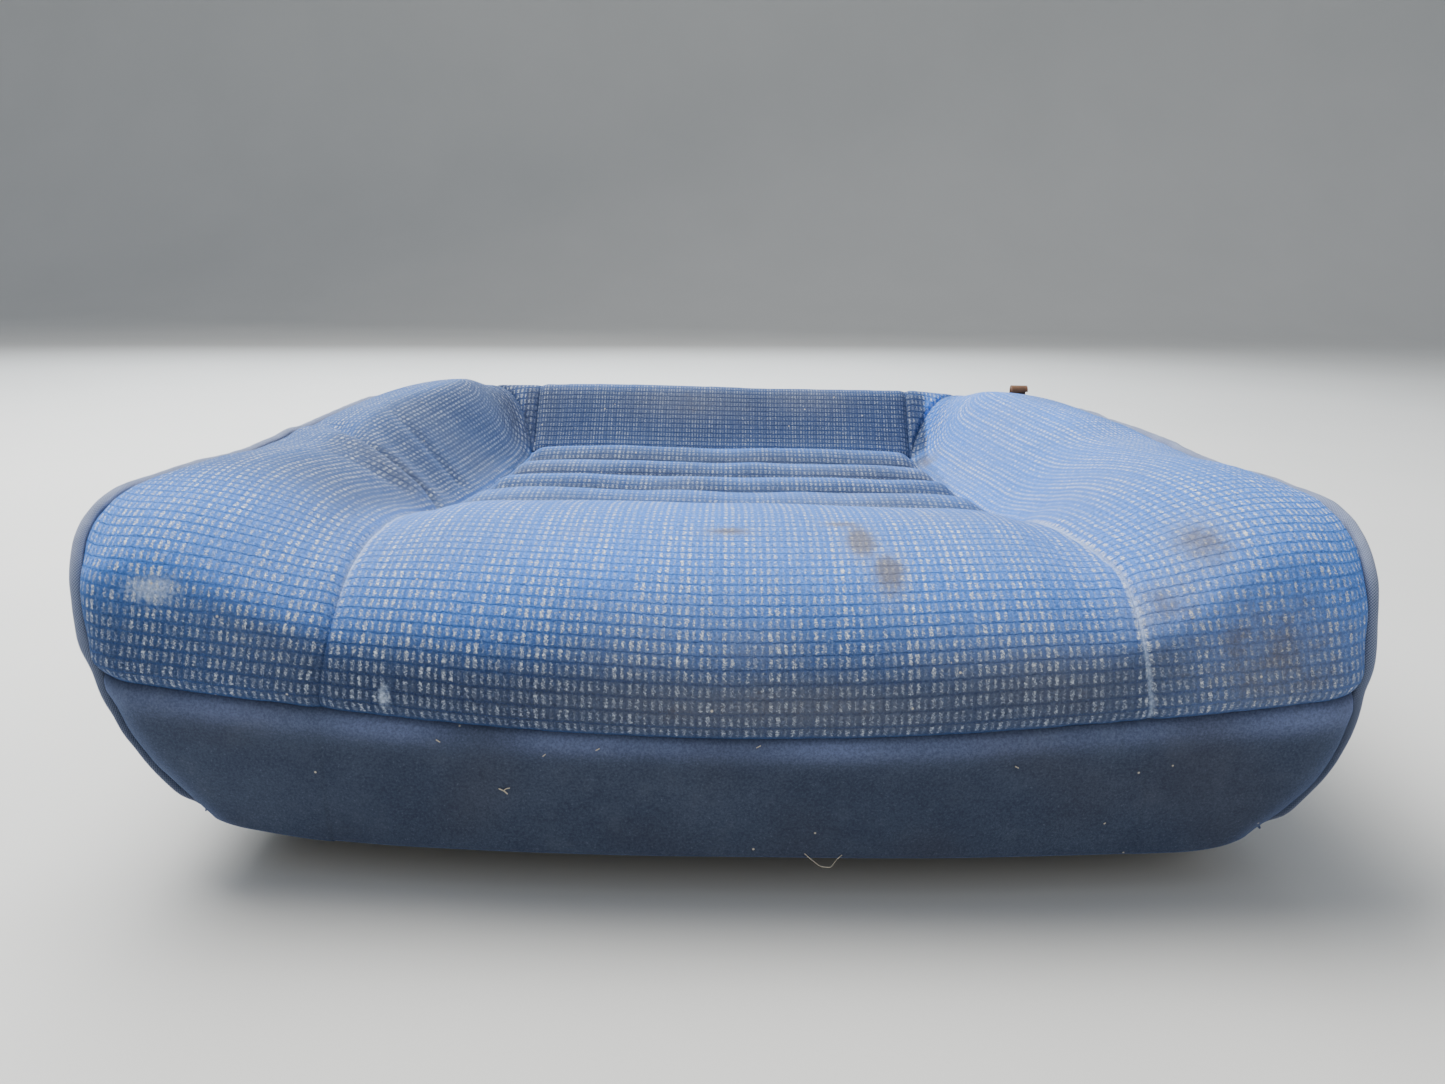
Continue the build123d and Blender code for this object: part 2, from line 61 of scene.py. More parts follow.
def set_camera():
    """The camera stands low in front of the cushion, looking slightly down."""
    data = bpy.data.cameras.new("camera")
    data.lens = LENS
    data.sensor_width = SENSOR
    data.clip_start = 0.02
    data.clip_end = 50
    cam = bpy.data.objects.new("camera", data)
    bpy.context.collection.objects.link(cam)
    pitch = Matrix.Rotation(math.radians(90 - CAMERA_DROP), 4, "X")
    cam.matrix_world = Matrix.Translation(CAMERA_PLACE) @ (pitch @ Matrix.Rotation(math.radians(CAMERA_ROLL), 4, "Z"))
    bpy.context.scene.camera = cam


def area_light(name, place, target, size, watts, colour):
    data = bpy.data.lights.new(name, "AREA")
    data.shape = "RECTANGLE"
    data.size, data.size_y = size
    data.energy = watts
    data.color = colour
    lamp = bpy.data.objects.new(name, data)
    bpy.context.collection.objects.link(lamp)
    lamp.location = place
    lamp.rotation_euler = (Vector(target) - Vector(place)).to_track_quat("-Z", "Y").to_euler()


def set_lights():
    world = bpy.data.worlds.new("studio")
    world.use_nodes = True
    sky = world.node_tree.nodes["Background"]
    sky.inputs["Color"].default_value = (0.86, 0.91, 1.0, 1)
    sky.inputs["Strength"].default_value = 0.46
    bpy.context.scene.world = world
    area_light("overhead", (-0.6, 0.5, 1.7), (0, 0, 0.1), (1.6, 1.3), 90, (1.0, 0.98, 0.95))
    area_light("rear_window", (-0.4, 1.9, 1.1), (0, 0, 0.1), (2.4, 1.2), 52, (0.86, 0.93, 1.0))
    area_light("front_fill", (0.9, -1.9, 1.0), (0, 0, 0.06), (1.6, 1.2), 6, (1.0, 0.98, 0.95))


def make_floor():
    """A floor that sweeps up into a backdrop."""
    points = [(-FLOOR_HALF, -FLOOR_HALF, 0), (FLOOR_HALF, -FLOOR_HALF, 0)]
    for k in range(SWEEP_STEPS + 1):
        turn = math.pi / 2 * k / SWEEP_STEPS
        y, z = SWEEP_START + math.sin(turn) * SWEEP_RADIUS, SWEEP_RADIUS - SWEEP_RADIUS * math.cos(turn)
        points += [(-FLOOR_HALF, y, z), (FLOOR_HALF, y, z)]
    wall_y = SWEEP_START + SWEEP_RADIUS
    points += [(-FLOOR_HALF, wall_y, WALL_TOP), (FLOOR_HALF, wall_y, WALL_TOP)]
    floor = bpy.data.meshes.new("floor")
    floor.from_pydata(points, [], [[2 * k, 2 * k + 1, 2 * k + 3, 2 * k + 2] for k in range(len(points) // 2 - 1)])
    floor.polygons.foreach_set("use_smooth", [True] * len(floor.polygons))
    ground = bpy.data.objects.new("floor", floor)
    bpy.context.collection.objects.link(ground)
    floor.materials.append(stage_paint())


# ------------------------------------------------------------------ shader helpers
class Graph:
    """Short names for building one material's nodes."""

    def __init__(self, name):
        self.mat = bpy.data.materials.new(name)
        self.mat.use_nodes = True
        self.tree = self.mat.node_tree
        self.shader = self.tree.nodes["Principled BSDF"]

    def put(self, socket, value):
        if isinstance(value, bpy.types.NodeSocket):
            self.tree.links.new(value, socket)
        else:
            socket.default_value = value

    def node(self, kind, values=(), **props):
        made = self.tree.nodes.new(kind)
        for key, value in props.items():
            setattr(made, key, value)
        for key, value in dict(values).items():
            self.put(made.inputs[key], value)
        return made

    def math(self, op, a, b=0.0, clamp=False):
        return self.node("ShaderNodeMath", {0: a, 1: b}, operation=op, use_clamp=clamp).outputs[0]

    def times(self, a, b, clamp=False):
        return self.math("MULTIPLY", a, b, clamp)

    def plus(self, a, b, clamp=False):
        return self.math("ADD", a, b, clamp)

    def minus(self, a, b):
        return self.math("SUBTRACT", a, b)

    def mix(self, share, a, b, blend="MIX"):
        return self.node("ShaderNodeMix", {0: share, 6: a, 7: b}, data_type="RGBA", blend_type=blend).outputs[2]

    def step(self, value, low, high, out_low=0.0, out_high=1.0):
        ins = {"Value": value, "From Min": low, "From Max": high, "To Min": out_low, "To Max": out_high}
        return self.node("ShaderNodeMapRange", ins, interpolation_type="SMOOTHSTEP").outputs[0]

    def noise(self, where, scale, detail=2.0, rough=0.5):
        ins = {"Vector": where, "Scale": scale, "Detail": detail, "Roughness": rough}
        return self.node("ShaderNodeTexNoise", ins).outputs["Fac"]

    def stretch(self, where, by):
        return self.node("ShaderNodeVectorMath", {0: where, 1: by}, operation="MULTIPLY").outputs[0]

    def join(self, x, y, z=0.0):
        return self.node("ShaderNodeCombineXYZ", {0: x, 1: y, 2: z}).outputs[0]

    def random(self, where):
        return self.node("ShaderNodeTexWhiteNoise", {"Vector": where}, noise_dimensions="3D").outputs["Value"]

    def bump(self, height, distance, strength=1.0, under=None):
        ins = {"Height": height, "Distance": distance, "Strength": strength}
        if under is not None:
            ins["Normal"] = under
        return self.node("ShaderNodeBump", ins).outputs[0]

    def specks(self, where, scale, salt, share, size):
        """1 near the middles of a few cells: share picks the cells and size is how far they reach."""
        cells = self.node("ShaderNodeTexVoronoi", {"Vector": where, "Scale": scale})
        chosen = self.step(self.random(self.stretch(cells.outputs["Color"], (salt, salt, salt))), *share)
        return self.times(self.step(cells.outputs["Distance"], *size), chosen)

    def place(self):
        return self.node("ShaderNodeTexCoord").outputs["Object"]

    def finish(self, colour, rough, normal=None, **own):
        self.put(self.shader.inputs["Base Color"], colour)
        self.put(self.shader.inputs["Roughness"], rough)
        if normal is not None:
            self.put(self.shader.inputs["Normal"], normal)
        for key, value in own.items():
            self.shader.inputs[key.replace("_", " ")].default_value = value
        return self.mat


def rgb(r, g, b):
    """A colour given as 0 to 255 sRGB values."""
    return tuple((v / 255 / 12.92 if v < 10 else ((v / 255 + 0.055) / 1.055) ** 2.4) for v in (r, g, b)) + (1.0,)


# The velour's pattern, in metres: a group of three dashes across, and one row of them along.
GROUP_PITCH, ROW_PITCH = 0.00865, 0.0054


def velour_patterned():
    """Cut velour: rows of pale dashes in threes, thin dark lines between the rows, soiled by use, with painted light
    and shade: lit blue where the cover faces up, dim navy on its shaded faces.
    """
    g = Graph("velour_patterned")
    uv = g.node("ShaderNodeUVMap", uv_map="cloth").outputs[0]
    light_and_wear = g.node("ShaderNodeVertexColor", layer_name="light_and_wear")
    place = g.place()

    def pushed(where, scale, detail, reach):
        """Cloth coordinates moved about by noise."""
        colour = g.node("ShaderNodeTexNoise", {"Vector": uv, "Scale": scale, "Detail": detail}).outputs["Color"]
        shift = g.node("ShaderNodeVectorMath", {0: colour, 1: (0.5, 0.5, 0.5)}, operation="SUBTRACT").outputs[0]
        ins = {0: shift, 1: (*reach, 0), 2: where}
        return g.node("ShaderNodeVectorMath", ins, operation="MULTIPLY_ADD").outputs[0]

    cloth = pushed(uv, 16.0, 0.0, (0.0014, 0.0010))
    cloth = pushed(cloth, 1100.0, 2.0, (0.0022, 0.0022))
    axes = g.node("ShaderNodeSeparateXYZ", {0: cloth})
    across = g.math("DIVIDE", axes.outputs[0], GROUP_PITCH)
    along = g.math("DIVIDE", axes.outputs[1], ROW_PITCH)
    in_group = g.math("FRACT", across)
    in_row = g.math("FRACT", along)
    group, row = g.math("FLOOR", across), g.math("FLOOR", along)

    def stripe(middle, half_width, edge):
        off = g.math("ABSOLUTE", g.minus(in_group, middle))
        return g.step(off, half_width + edge, half_width - edge)

    def lively(offset, low):
        value = g.random(g.join(g.plus(group, offset), row, offset))
        return g.plus(g.times(value, 1 - low), low)

    first = g.times(stripe(0.16, 0.074, 0.04), lively(0.1, 0.45))
    second = g.times(stripe(0.49, 0.074, 0.04), lively(0.4, 0.45))
    third = g.times(stripe(0.81, 0.05, 0.035), lively(0.7, 0.2))
    third = g.times(third, 0.8)
    columns = g.math("MAXIMUM", g.math("MAXIMUM", first, second), third)
    dash_rows = g.times(g.step(in_row, 0.16, 0.3), g.step(in_row, 0.98, 0.82))
    slant = g.plus(g.times(along, 3.1), g.times(across, 4.4))
    slant = g.plus(slant, g.times(g.noise(cloth, 420.0, 1.0), 3.4))
    strokes = g.step(g.math("SINE", g.times(slant, 2 * math.pi)), -0.1, 0.6)
    flecks = g.times(strokes, g.step(g.noise(cloth, 640.0, 3.0, 0.75), 0.38, 0.52))
    tuft = g.noise(g.stretch(cloth, (1.0, 0.6, 1.0)), 420.0, 1.0)
    column_life = g.random(g.join(g.math("FLOOR", g.times(across, 3.0)), 3.0, 1.0))
    faded_bands = g.noise(g.join(axes.outputs[0], g.times(axes.outputs[1], 0.12)), 70.0, 2.0)
    dash = g.times(columns, dash_rows)
    dash = g.times(dash, g.plus(g.times(flecks, 0.95), 0.2))
    dash = g.times(dash, g.plus(g.times(column_life, 0.4), 0.75))
    dash = g.times(dash, g.plus(g.step(faded_bands, 0.35, 0.7), 0.72), clamp=True)

    dash = g.times(dash, light_and_wear.outputs[1])
    masks = g.node("ShaderNodeSeparateColor", {0: light_and_wear.outputs[0]})
    # The first channel is painted light and shade, the second soiling, the third rubbing.
    painted_light, soiled, rubbed = masks.outputs[0], masks.outputs[1], masks.outputs[2]
    grain = g.noise(cloth, 2600.0, 2.0, 0.7)
    broad = g.noise(place, 9.0, 4.0, 0.6)
    # Painted light and shade: the ground runs from a dim shaded navy to a bright lit blue.
    ground = g.mix(g.step(painted_light, 0.0, 0.6), rgb(64, 75, 100), rgb(70, 96, 144))
    ground = g.mix(g.step(painted_light, 0.4, 1.05), ground, rgb(82, 150, 255))
    speckle = g.noise(cloth, 760.0, 4.0, 0.8)
    ground = g.mix(g.step(speckle, 0.38, 0.58), g.mix(0.5, ground, rgb(14, 26, 62)), ground)
    # Stray fibres: a shaded and a lit copy of their colour, picked by the painted light.
    stray = g.step(g.noise(g.stretch(cloth, (1.0, 0.55, 1.0)), 1250.0, 2.0, 0.7), 0.56, 0.7, 0.0, 0.4)
    ground = g.mix(stray, ground, g.mix(painted_light, rgb(132, 150, 184), rgb(196, 220, 255)))
    ground = g.mix(g.step(grain, 0.3, 0.75), g.mix(0.2, ground, rgb(12, 24, 60)), ground)
    ground = g.mix(g.times(g.step(broad, 0.3, 0.7), 0.2), ground, rgb(84, 108, 150))
    # Painted light: the dashes are greyer in shade and near white where lit.
    pale = g.mix(painted_light, rgb(184, 194, 210), rgb(248, 252, 255))
    colour = g.mix(dash, ground, pale)
    # The dark lines between the rows are painted fainter where the painted light is high.
    furrow = g.times(g.step(in_row, 0.14, 0.04), g.minus(0.5, g.times(painted_light, 0.42)))
    furrow = g.times(furrow, g.step(g.noise(cloth, 380.0, 2.0, 0.6), 0.3, 0.55, 0.35, 1.0))
    between = g.step(g.math("ABSOLUTE", g.minus(in_group, 0.985)), 0.05, 0.0, 0.0, 0.35)
    # Painted light: the gap colour has a shaded navy and a lit blue copy.
    gap = g.mix(painted_light, rgb(20, 36, 82), rgb(46, 98, 196))
    colour = g.mix(furrow, colour, gap)
    colour = g.mix(between, colour, gap)
    colour = g.mix(g.times(soiled, 0.5), colour, rgb(148, 148, 150))
    grime_edge = g.plus(soiled, g.times(g.minus(g.noise(place, 95.0, 6.0, 0.8), 0.5), 1.5))
    grime = g.times(g.step(grime_edge, 0.3, 0.9), 0.66)
    colour = g.mix(grime, colour, g.mix(dash, rgb(98, 92, 86), rgb(164, 154, 140)))
    rub_edge = g.plus(rubbed, g.times(g.minus(g.noise(cloth, 480.0, 4.0, 0.8), 0.5), 1.1))
    colour = g.mix(g.step(rub_edge, 0.35, 0.95, 0.0, 0.7), colour, rgb(210, 228, 255))
    tone = g.step(g.noise(cloth, 900.0, 3.0, 0.8), 0.3, 0.7, 0.72, 1.22)
    colour = g.mix(1.0, colour, g.join(tone, tone, tone), "MULTIPLY")
    lint = g.specks(place, 230.0, 97.0, (0.972, 0.975), (0.16, 0.06))
    colour = g.mix(lint, colour, rgb(214, 206, 190))

    pile = g.plus(g.times(dash, 0.8), g.times(tuft, 0.6))
    pile = g.minus(pile, g.times(g.step(in_row, 0.14, 0.02), 0.9))
    fibre = g.noise(cloth, 4200.0, 2.0, 0.8)
    normal = g.bump(fibre, 0.00022, 0.7, g.bump(pile, 0.00055, 0.8))
    return g.finish(colour, 0.92, normal, Sheen_Weight=0.35, Sheen_Roughness=0.3,
                    Sheen_Tint=rgb(110, 165, 255), Specular_IOR_Level=0.08)


def velour_plain():
    """Plain navy velour with a mottled nap, dust and lint, and a painted highlight where its first channel is set."""
    g = Graph("velour_plain")
    place = g.place()
    light_and_wear = g.node("ShaderNodeVertexColor", layer_name="light_and_wear")
    masks = g.node("ShaderNodeSeparateColor", {0: light_and_wear.outputs[0]})
    nap = g.noise(g.stretch(place, (1.0, 1.0, 1.6)), 26.0, 5.0, 0.62)
    fine = g.noise(place, 1050.0, 4.0, 0.8)
    colour = g.mix(g.step(nap, 0.28, 0.75), rgb(62, 70, 88), rgb(72, 81, 99))
    # Painted highlight: the band under the valance seam and the skirts' tops are lightened.
    colour = g.mix(masks.outputs[0], colour, rgb(112, 124, 162))
    colour = g.mix(g.step(fine, 0.38, 0.6), g.mix(0.34, colour, rgb(10, 16, 34)), colour)
    colour = g.mix(g.step(fine, 0.6, 0.72, 0.0, 0.3), colour, rgb(132, 142, 162))
    dusty = g.times(g.step(g.noise(place, 60.0, 4.0, 0.7), 0.5, 0.8), 0.16)
    colour = g.mix(dusty, colour, rgb(104, 112, 126))
    colour = g.mix(g.times(masks.outputs[1], 0.5), colour, rgb(70, 62, 56))
    lint = g.specks(place, 190.0, 61.0, (0.958, 0.962), (0.12, 0.05))
    colour = g.mix(g.math("MAXIMUM", lint, masks.outputs[2]), colour, rgb(204, 194, 170))
    normal = g.bump(fine, 0.0003, 0.7, g.bump(nap, 0.0012, 0.25))
    return g.finish(colour, 0.94, normal, Sheen_Weight=0.5, Sheen_Roughness=0.42,
                    Sheen_Tint=rgb(140, 165, 225), Specular_IOR_Level=0.1)


def woven_cloth(name, dark, light, low, pitch, sheen):
    """A plain woven cloth, from the piece's own cloth coordinates, with painted shade low down: it darkens towards
    the low colour below about 115 mm.
    """
    g = Graph(name)
    uv = g.node("ShaderNodeUVMap", uv_map="cloth").outputs[0]
    axes = g.node("ShaderNodeSeparateXYZ", {0: uv})
    warp = g.math("SINE", g.times(g.plus(axes.outputs[0], axes.outputs[1]), 2 * math.pi / pitch))
    weft = g.math("SINE", g.times(g.minus(axes.outputs[0], axes.outputs[1]),
                                 2 * math.pi / pitch))
    weave = g.times(g.plus(g.times(warp, 0.7), weft), 0.3)
    fuzz = g.noise(g.place(), 1800.0, 3.0, 0.7)
    worn = g.noise(g.place(), 40.0, 4.0, 0.6)
    colour = g.mix(g.step(weave, -0.4, 0.5), dark, light)
    colour = g.mix(g.step(worn, 0.45, 0.75, 0.0, 0.5), colour, light)
    colour = g.mix(g.step(fuzz, 0.4, 0.8, 0.0, 0.35), colour, dark)
    height = g.node("ShaderNodeSeparateXYZ", {0: g.place()}).outputs[2]
    # Painted shade: darker towards the bottom, where the cord faces down.
    colour = g.mix(g.step(height, 0.115, 0.06, 0.0, 0.75), colour, low)
    normal = g.bump(g.plus(weave, g.times(fuzz, 0.6)), 0.0003, 0.8)
    return g.finish(colour, 0.88, normal, Sheen_Weight=sheen, Sheen_Roughness=0.4,
                    Sheen_Tint=rgb(200, 205, 235), Specular_IOR_Level=0.15)


def foam():
    """Moulded foam: fine open cells, a yellowed skin and a few larger bubbles."""
    g = Graph("moulded_foam")
    place = g.place()
    cells = g.node("ShaderNodeTexVoronoi", {"Vector": place, "Scale": 620.0}).outputs["Distance"]
    pit = g.specks(place, 75.0, 31.0, (0.8, 0.82), (0.32, 0.18))
    aged = g.noise(place, 14.0, 5.0, 0.6)
    colour = g.mix(g.step(aged, 0.3, 0.75), rgb(214, 197, 142), rgb(188, 160, 98))
    colour = g.mix(g.step(cells, 0.35, 0.0, 0.0, 0.45), colour, rgb(128, 104, 58))
    colour = g.mix(g.times(pit, 0.7), colour, rgb(96, 76, 42))
    height = g.minus(g.times(cells, 0.5), pit)
    return g.finish(colour, 0.9, g.bump(height, 0.0012, 0.8), Specular_IOR_Level=0.2)


def felt():
    """Needled felt made of mixed shredded fibres."""
    g = Graph("felt")
    place = g.place()
    long_a = g.noise(g.stretch(place, (1.0, 0.18, 1.0)), 900.0, 3.0, 0.7)
    long_b = g.noise(g.stretch(place, (0.2, 1.0, 1.0)), 760.0, 3.0, 0.7)
    clumps = g.noise(place, 120.0, 4.0, 0.65)
    colour = g.mix(g.step(long_a, 0.35, 0.65), rgb(58, 58, 62), rgb(128, 126, 124))
    colour = g.mix(g.step(long_b, 0.55, 0.72, 0.0, 0.7), colour, rgb(92, 98, 120))
    colour = g.mix(g.step(clumps, 0.58, 0.75, 0.0, 0.6), colour, rgb(132, 88, 78))
    height = g.plus(g.plus(long_a, long_b), clumps)
    return g.finish(colour, 0.95, g.bump(height, 0.0009, 0.9), Sheen_Weight=0.2, Specular_IOR_Level=0.1)


def metal(name, base, second, rust, coat, rough, metallic, drawn=1.0):
    """Metal with a finish: base and second are the finish's colours, rust how much of it has gone."""
    g = Graph(name)
    place = g.place()
    stretched = g.stretch(place, (1.0, drawn, 1.0))
    soft = g.noise(stretched, 45.0, 5.0, 0.6)
    fine = g.noise(stretched, 700.0, 4.0, 0.7)
    patches = g.noise(place, 85.0, 6.0, 0.68)
    colour = g.mix(g.step(soft, 0.3, 0.7), base, second)
    colour = g.mix(g.step(fine, 0.5, 0.8, 0.0, 0.3), colour, second)
    gone = g.step(patches, 0.72 - 0.3 * rust, 0.8 - 0.25 * rust)
    rusty = g.mix(g.step(fine, 0.35, 0.65), rgb(84, 42, 22), rgb(150, 88, 46))
    colour = g.mix(gone, colour, rusty)
    polish = g.plus(g.times(fine, 0.2), rough)
    roughness = g.plus(polish, g.times(gone, 0.4), clamp=True)
    g.put(g.shader.inputs["Metallic"], g.times(g.minus(1.0, gone), metallic))
    height = g.plus(g.times(fine, 0.35), g.times(gone, g.noise(place, 900.0, 3.0)))
    return g.finish(colour, roughness, g.bump(height, 0.0003, 0.5), Coat_Weight=coat, Coat_Roughness=0.3)


def plastic(name, base, second, rough):
    """Moulded or extruded plastic with a fine grain, scuffs and dust."""
    g = Graph(name)
    place = g.place()
    grain = g.noise(place, 1600.0, 3.0, 0.6)
    scuffs = g.noise(g.stretch(place, (6.0, 1.0, 1.0)), 60.0, 5.0, 0.7)
    colour = g.mix(g.step(g.noise(place, 30.0, 4.0), 0.3, 0.7), base, second)
    colour = g.mix(g.step(scuffs, 0.62, 0.74, 0.0, 0.4), colour, rgb(120, 118, 112))
    roughness = g.plus(g.times(scuffs, 0.25), rough)
    return g.finish(colour, roughness, g.bump(grain, 0.00015, 0.5), Specular_IOR_Level=0.4)


def stage_paint():
    g = Graph("stage")
    mottle = g.noise(g.place(), 3.0, 3.0, 0.5)
    colour = g.mix(mottle, rgb(204, 205, 202), rgb(214, 214, 211))
    return g.finish(colour, 0.75, g.bump(g.noise(g.place(), 90.0, 3.0), 0.0004, 0.1), Specular_IOR_Level=0.25)


# ------------------------------------------------------------------ the cushion's form, in millimetres
HALF = {
    -1: ((18, 206), (52, 233.5), (85, 246), (119, 252), (150, 250), (190, 243)),
    1: ((18, 218), (52, 245), (85, 252.5), (119, 254.5), (150, 251), (190, 243)),
}
FRONT = ((18, -243), (52, -247), (85, -250), (119, -247), (150, -238), (190, -226))
REAR = ((18, 232), (52, 241), (85, 245), (119, 247), (150, 246), (190, 240))
MIDDLE = (
    (-300, 78), (-250, 94), (-236, 109), (-215, 123), (-190, 131), (-160, 135), (-120, 132), (-80, 124),
    (-40, 111), (0, 103.5), (60, 100), (120, 99), (180, 100), (198, 104), (212, 118), (226, 136), (238, 148),
    (300, 151),
)
CROWN = (
    (-300, 100), (-250, 118), (-236, 131), (-215, 144), (-190, 151), (-165, 154), (-120, 152), (-80, 148),
    (-40, 145), (0, 144), (60, 148), (120, 152), (180, 154), (220, 152), (240, 146), (300, 138),
)
EDGE_LINE = (
    (-224, 120), (-215, 131), (-203, 140), (-182, 146.5), (-120, 145), (-60, 141.5), (60, 142), (150, 142),
    (200, 139), (235, 134),
)
FRONT_R, REAR_R = 22.0, 46.0
FRONT_BOW, REAR_BOW = 14.0, 4.0
FOOT_X = 138.0
HEM_Z = 19.0
FRONT_TURN, REAR_TURN = math.radians(38), math.radians(55)
# The seam between the middle panels and each bolster: on the front face by height, on top by y.
SEAM_FRONT = {
    -1: ((18, 152), (78, 151), (101, 148), (150, 147)),
    1: ((18, 165), (77, 163), (102, 160), (150, 158)),
}
SEAM_TOP = {
    -1: ((-260, 147), (-190, 147), (-40, 150), (70, 147), (190, 141), (260, 140)),
    1: ((-260, 158), (-208, 157), (-184, 153), (-150, 150), (-40, 150), (70, 146), (190, 138), (260, 137)),
}
FLUTES_Y = (-40, 32, 90, 146, 198)
REAR_SEAM_Z = 139.0
GUSSET_REAR_X = 176
DISH_X, DISH_START = 148, (-44, -36)
COVER_THICK, GUSSET_THICK, FELT_THICK = 2.2, 2.0, 2.4
SKIRT_DROP = 130
SIDES = {-1: "left", 1: "right"}
COLUMN_STEP = 1.5
FOAM_VOXEL, FOAM_DEPTH, FOAM_SEARCH, FOAM_PASSES = 4.5, 12.0, 30, 4


def spline(points, v):
    """A smooth curve through the points, at v."""
    p = np.array(points, float)
    x, y = p[:, 0], p[:, 1]
    m = np.empty_like(y)
    m[1:-1] = (y[2:] - y[:-2]) / (x[2:] - x[:-2])
    m[0] = (y[1] - y[0]) / (x[1] - x[0])
    m[-1] = (y[-1] - y[-2]) / (x[-1] - x[-2])
    v = np.clip(np.asarray(v, float), x[0], x[-1])
    i = np.clip(np.searchsorted(x, v, side="right") - 1, 0, len(x) - 2)
    h = x[i + 1] - x[i]
    t = (v - x[i]) / h
    return ((2 * t**3 - 3 * t**2 + 1) * y[i] + (t**3 - 2 * t**2 + t) * h * m[i]
            + (3 * t**2 - 2 * t**3) * y[i + 1] + (t**3 - t**2) * h * m[i + 1])


def ease(v, low, high):
    t = np.clip((np.asarray(v, float) - low) / (high - low), 0, 1)
    return t * t * (3 - 2 * t)


def half_width(side, z):
    return np.where(np.asarray(side) < 0, spline(HALF[-1], z), spline(HALF[1], z))


def wall_front(x, z):
    h = half_width(np.sign(x), z)
    d = np.clip(np.abs(x) - (h - FRONT_R), 0, FRONT_R)
    return spline(FRONT, z) + FRONT_BOW * (x / h) ** 2 + FRONT_R - np.sqrt(FRONT_R**2 - d**2)


def wall_rear(x, z):
    h = half_width(np.sign(x), z)
    d = np.clip(np.abs(x) - (h - REAR_R), 0, REAR_R)
    return spline(REAR, z) - REAR_BOW * (x / h) ** 2 - REAR_R + np.sqrt(REAR_R**2 - d**2)


def wall_side(side, y, z):
    a = np.clip(spline(FRONT, z) + FRONT_BOW + FRONT_R - y, 0, FRONT_R)
    b = np.clip(y - (spline(REAR, z) - REAR_BOW - REAR_R), 0, REAR_R)
    front_cut = FRONT_R - np.sqrt(FRONT_R**2 - a**2)
    rear_cut = REAR_R - np.sqrt(REAR_R**2 - b**2)
    return half_width(side, z) - front_cut - rear_cut


def edge_z(side, y):
    lift = np.where(np.asarray(side) > 0, 3.5 * (1 - ease(y, 40, 150)), 0.0)
    return spline(EDGE_LINE, y) + lift


def edge_x(side, y):
    y = np.clip(y, -221.0, 234.5)
    return wall_side(side, y, edge_z(side, y)) - 1.0


def top_height(side, x, y):
    """Height of the top at a point of the plan. The right bolster stands a little higher in front."""
    middle, crown = spline(MIDDLE, y), spline(CROWN, y)
    crown = crown + np.where(np.asarray(side) > 0, 4.5 * (1 - ease(y, 40, 150)) - 3.0 * ease(y, 150, 220), 0.0)
    crown = crown - 2.5 * np.exp(-((y - 16) / 22) ** 2)
    s = np.abs(x)
    peak = 216 - 24 * ease(y, 60, 200)
    edge = edge_z(side, y)
    rise = ease(s, FOOT_X, peak)
    fall = np.clip((s - peak) / np.maximum(edge_x(side, y) - peak, 5), 0, 1.2)
    return middle + (crown - middle) * rise + (edge - crown) * fall**2


def hem_z(x):
    return HEM_Z + 5.0 * np.where(x < 0, ease(-x, 150, 212), ease(x, 185, 226))


def valance_z(x):
    return 69.5 + 7.5 * (np.abs(x) / 151) ** 1.6


def gusset_x(side, y):
    seam = spline(SEAM_TOP[side], y)
    return seam + (GUSSET_REAR_X - seam) * np.clip((np.asarray(y, float) - FLUTES_Y[-1]) / 41, 0, 1.05) ** 1.8


def soften(line, sigma, step):
    """Gaussian smoothing along a polyline of evenly spaced points, with its ends held."""
    n = int(3 * sigma / step)
    kernel = np.exp(-0.5 * (np.arange(-n, n + 1) * step / sigma) ** 2)
    kernel /= kernel.sum()
    padded = np.vstack([2 * line[0] - line[n:0:-1], line, 2 * line[-1] - line[-2:-n - 2:-1]])
    return np.stack([np.convolve(padded[:, k], kernel, "valid") for k in range(3)], 1)


def arc_along(line):
    """Distance along a line of points, from its first."""
    return np.concatenate([[0], np.cumsum(np.linalg.norm(np.diff(line, axis=0), axis=1))])


def respace(line, step=None, at=None):
    """The line at even steps, or at the given distances along it."""
    arc = arc_along(line)
    if at is None:
        at = np.linspace(0, arc[-1], int(arc[-1] / step) + 1)
    return np.stack([np.interp(at, arc, line[:, k]) for k in range(3)], 1)


def crossing(arc, values, level, first=0):
    """Where along arc the values first reach the level, from index first on."""
    k = first + int(np.argmax(values[first:] >= level))
    if k <= first:
        return arc[first]
    share = (level - values[k - 1]) / max(values[k] - values[k - 1], 1e-9)
    return arc[k - 1] + (arc[k] - arc[k - 1]) * float(np.clip(share, 0, 1))


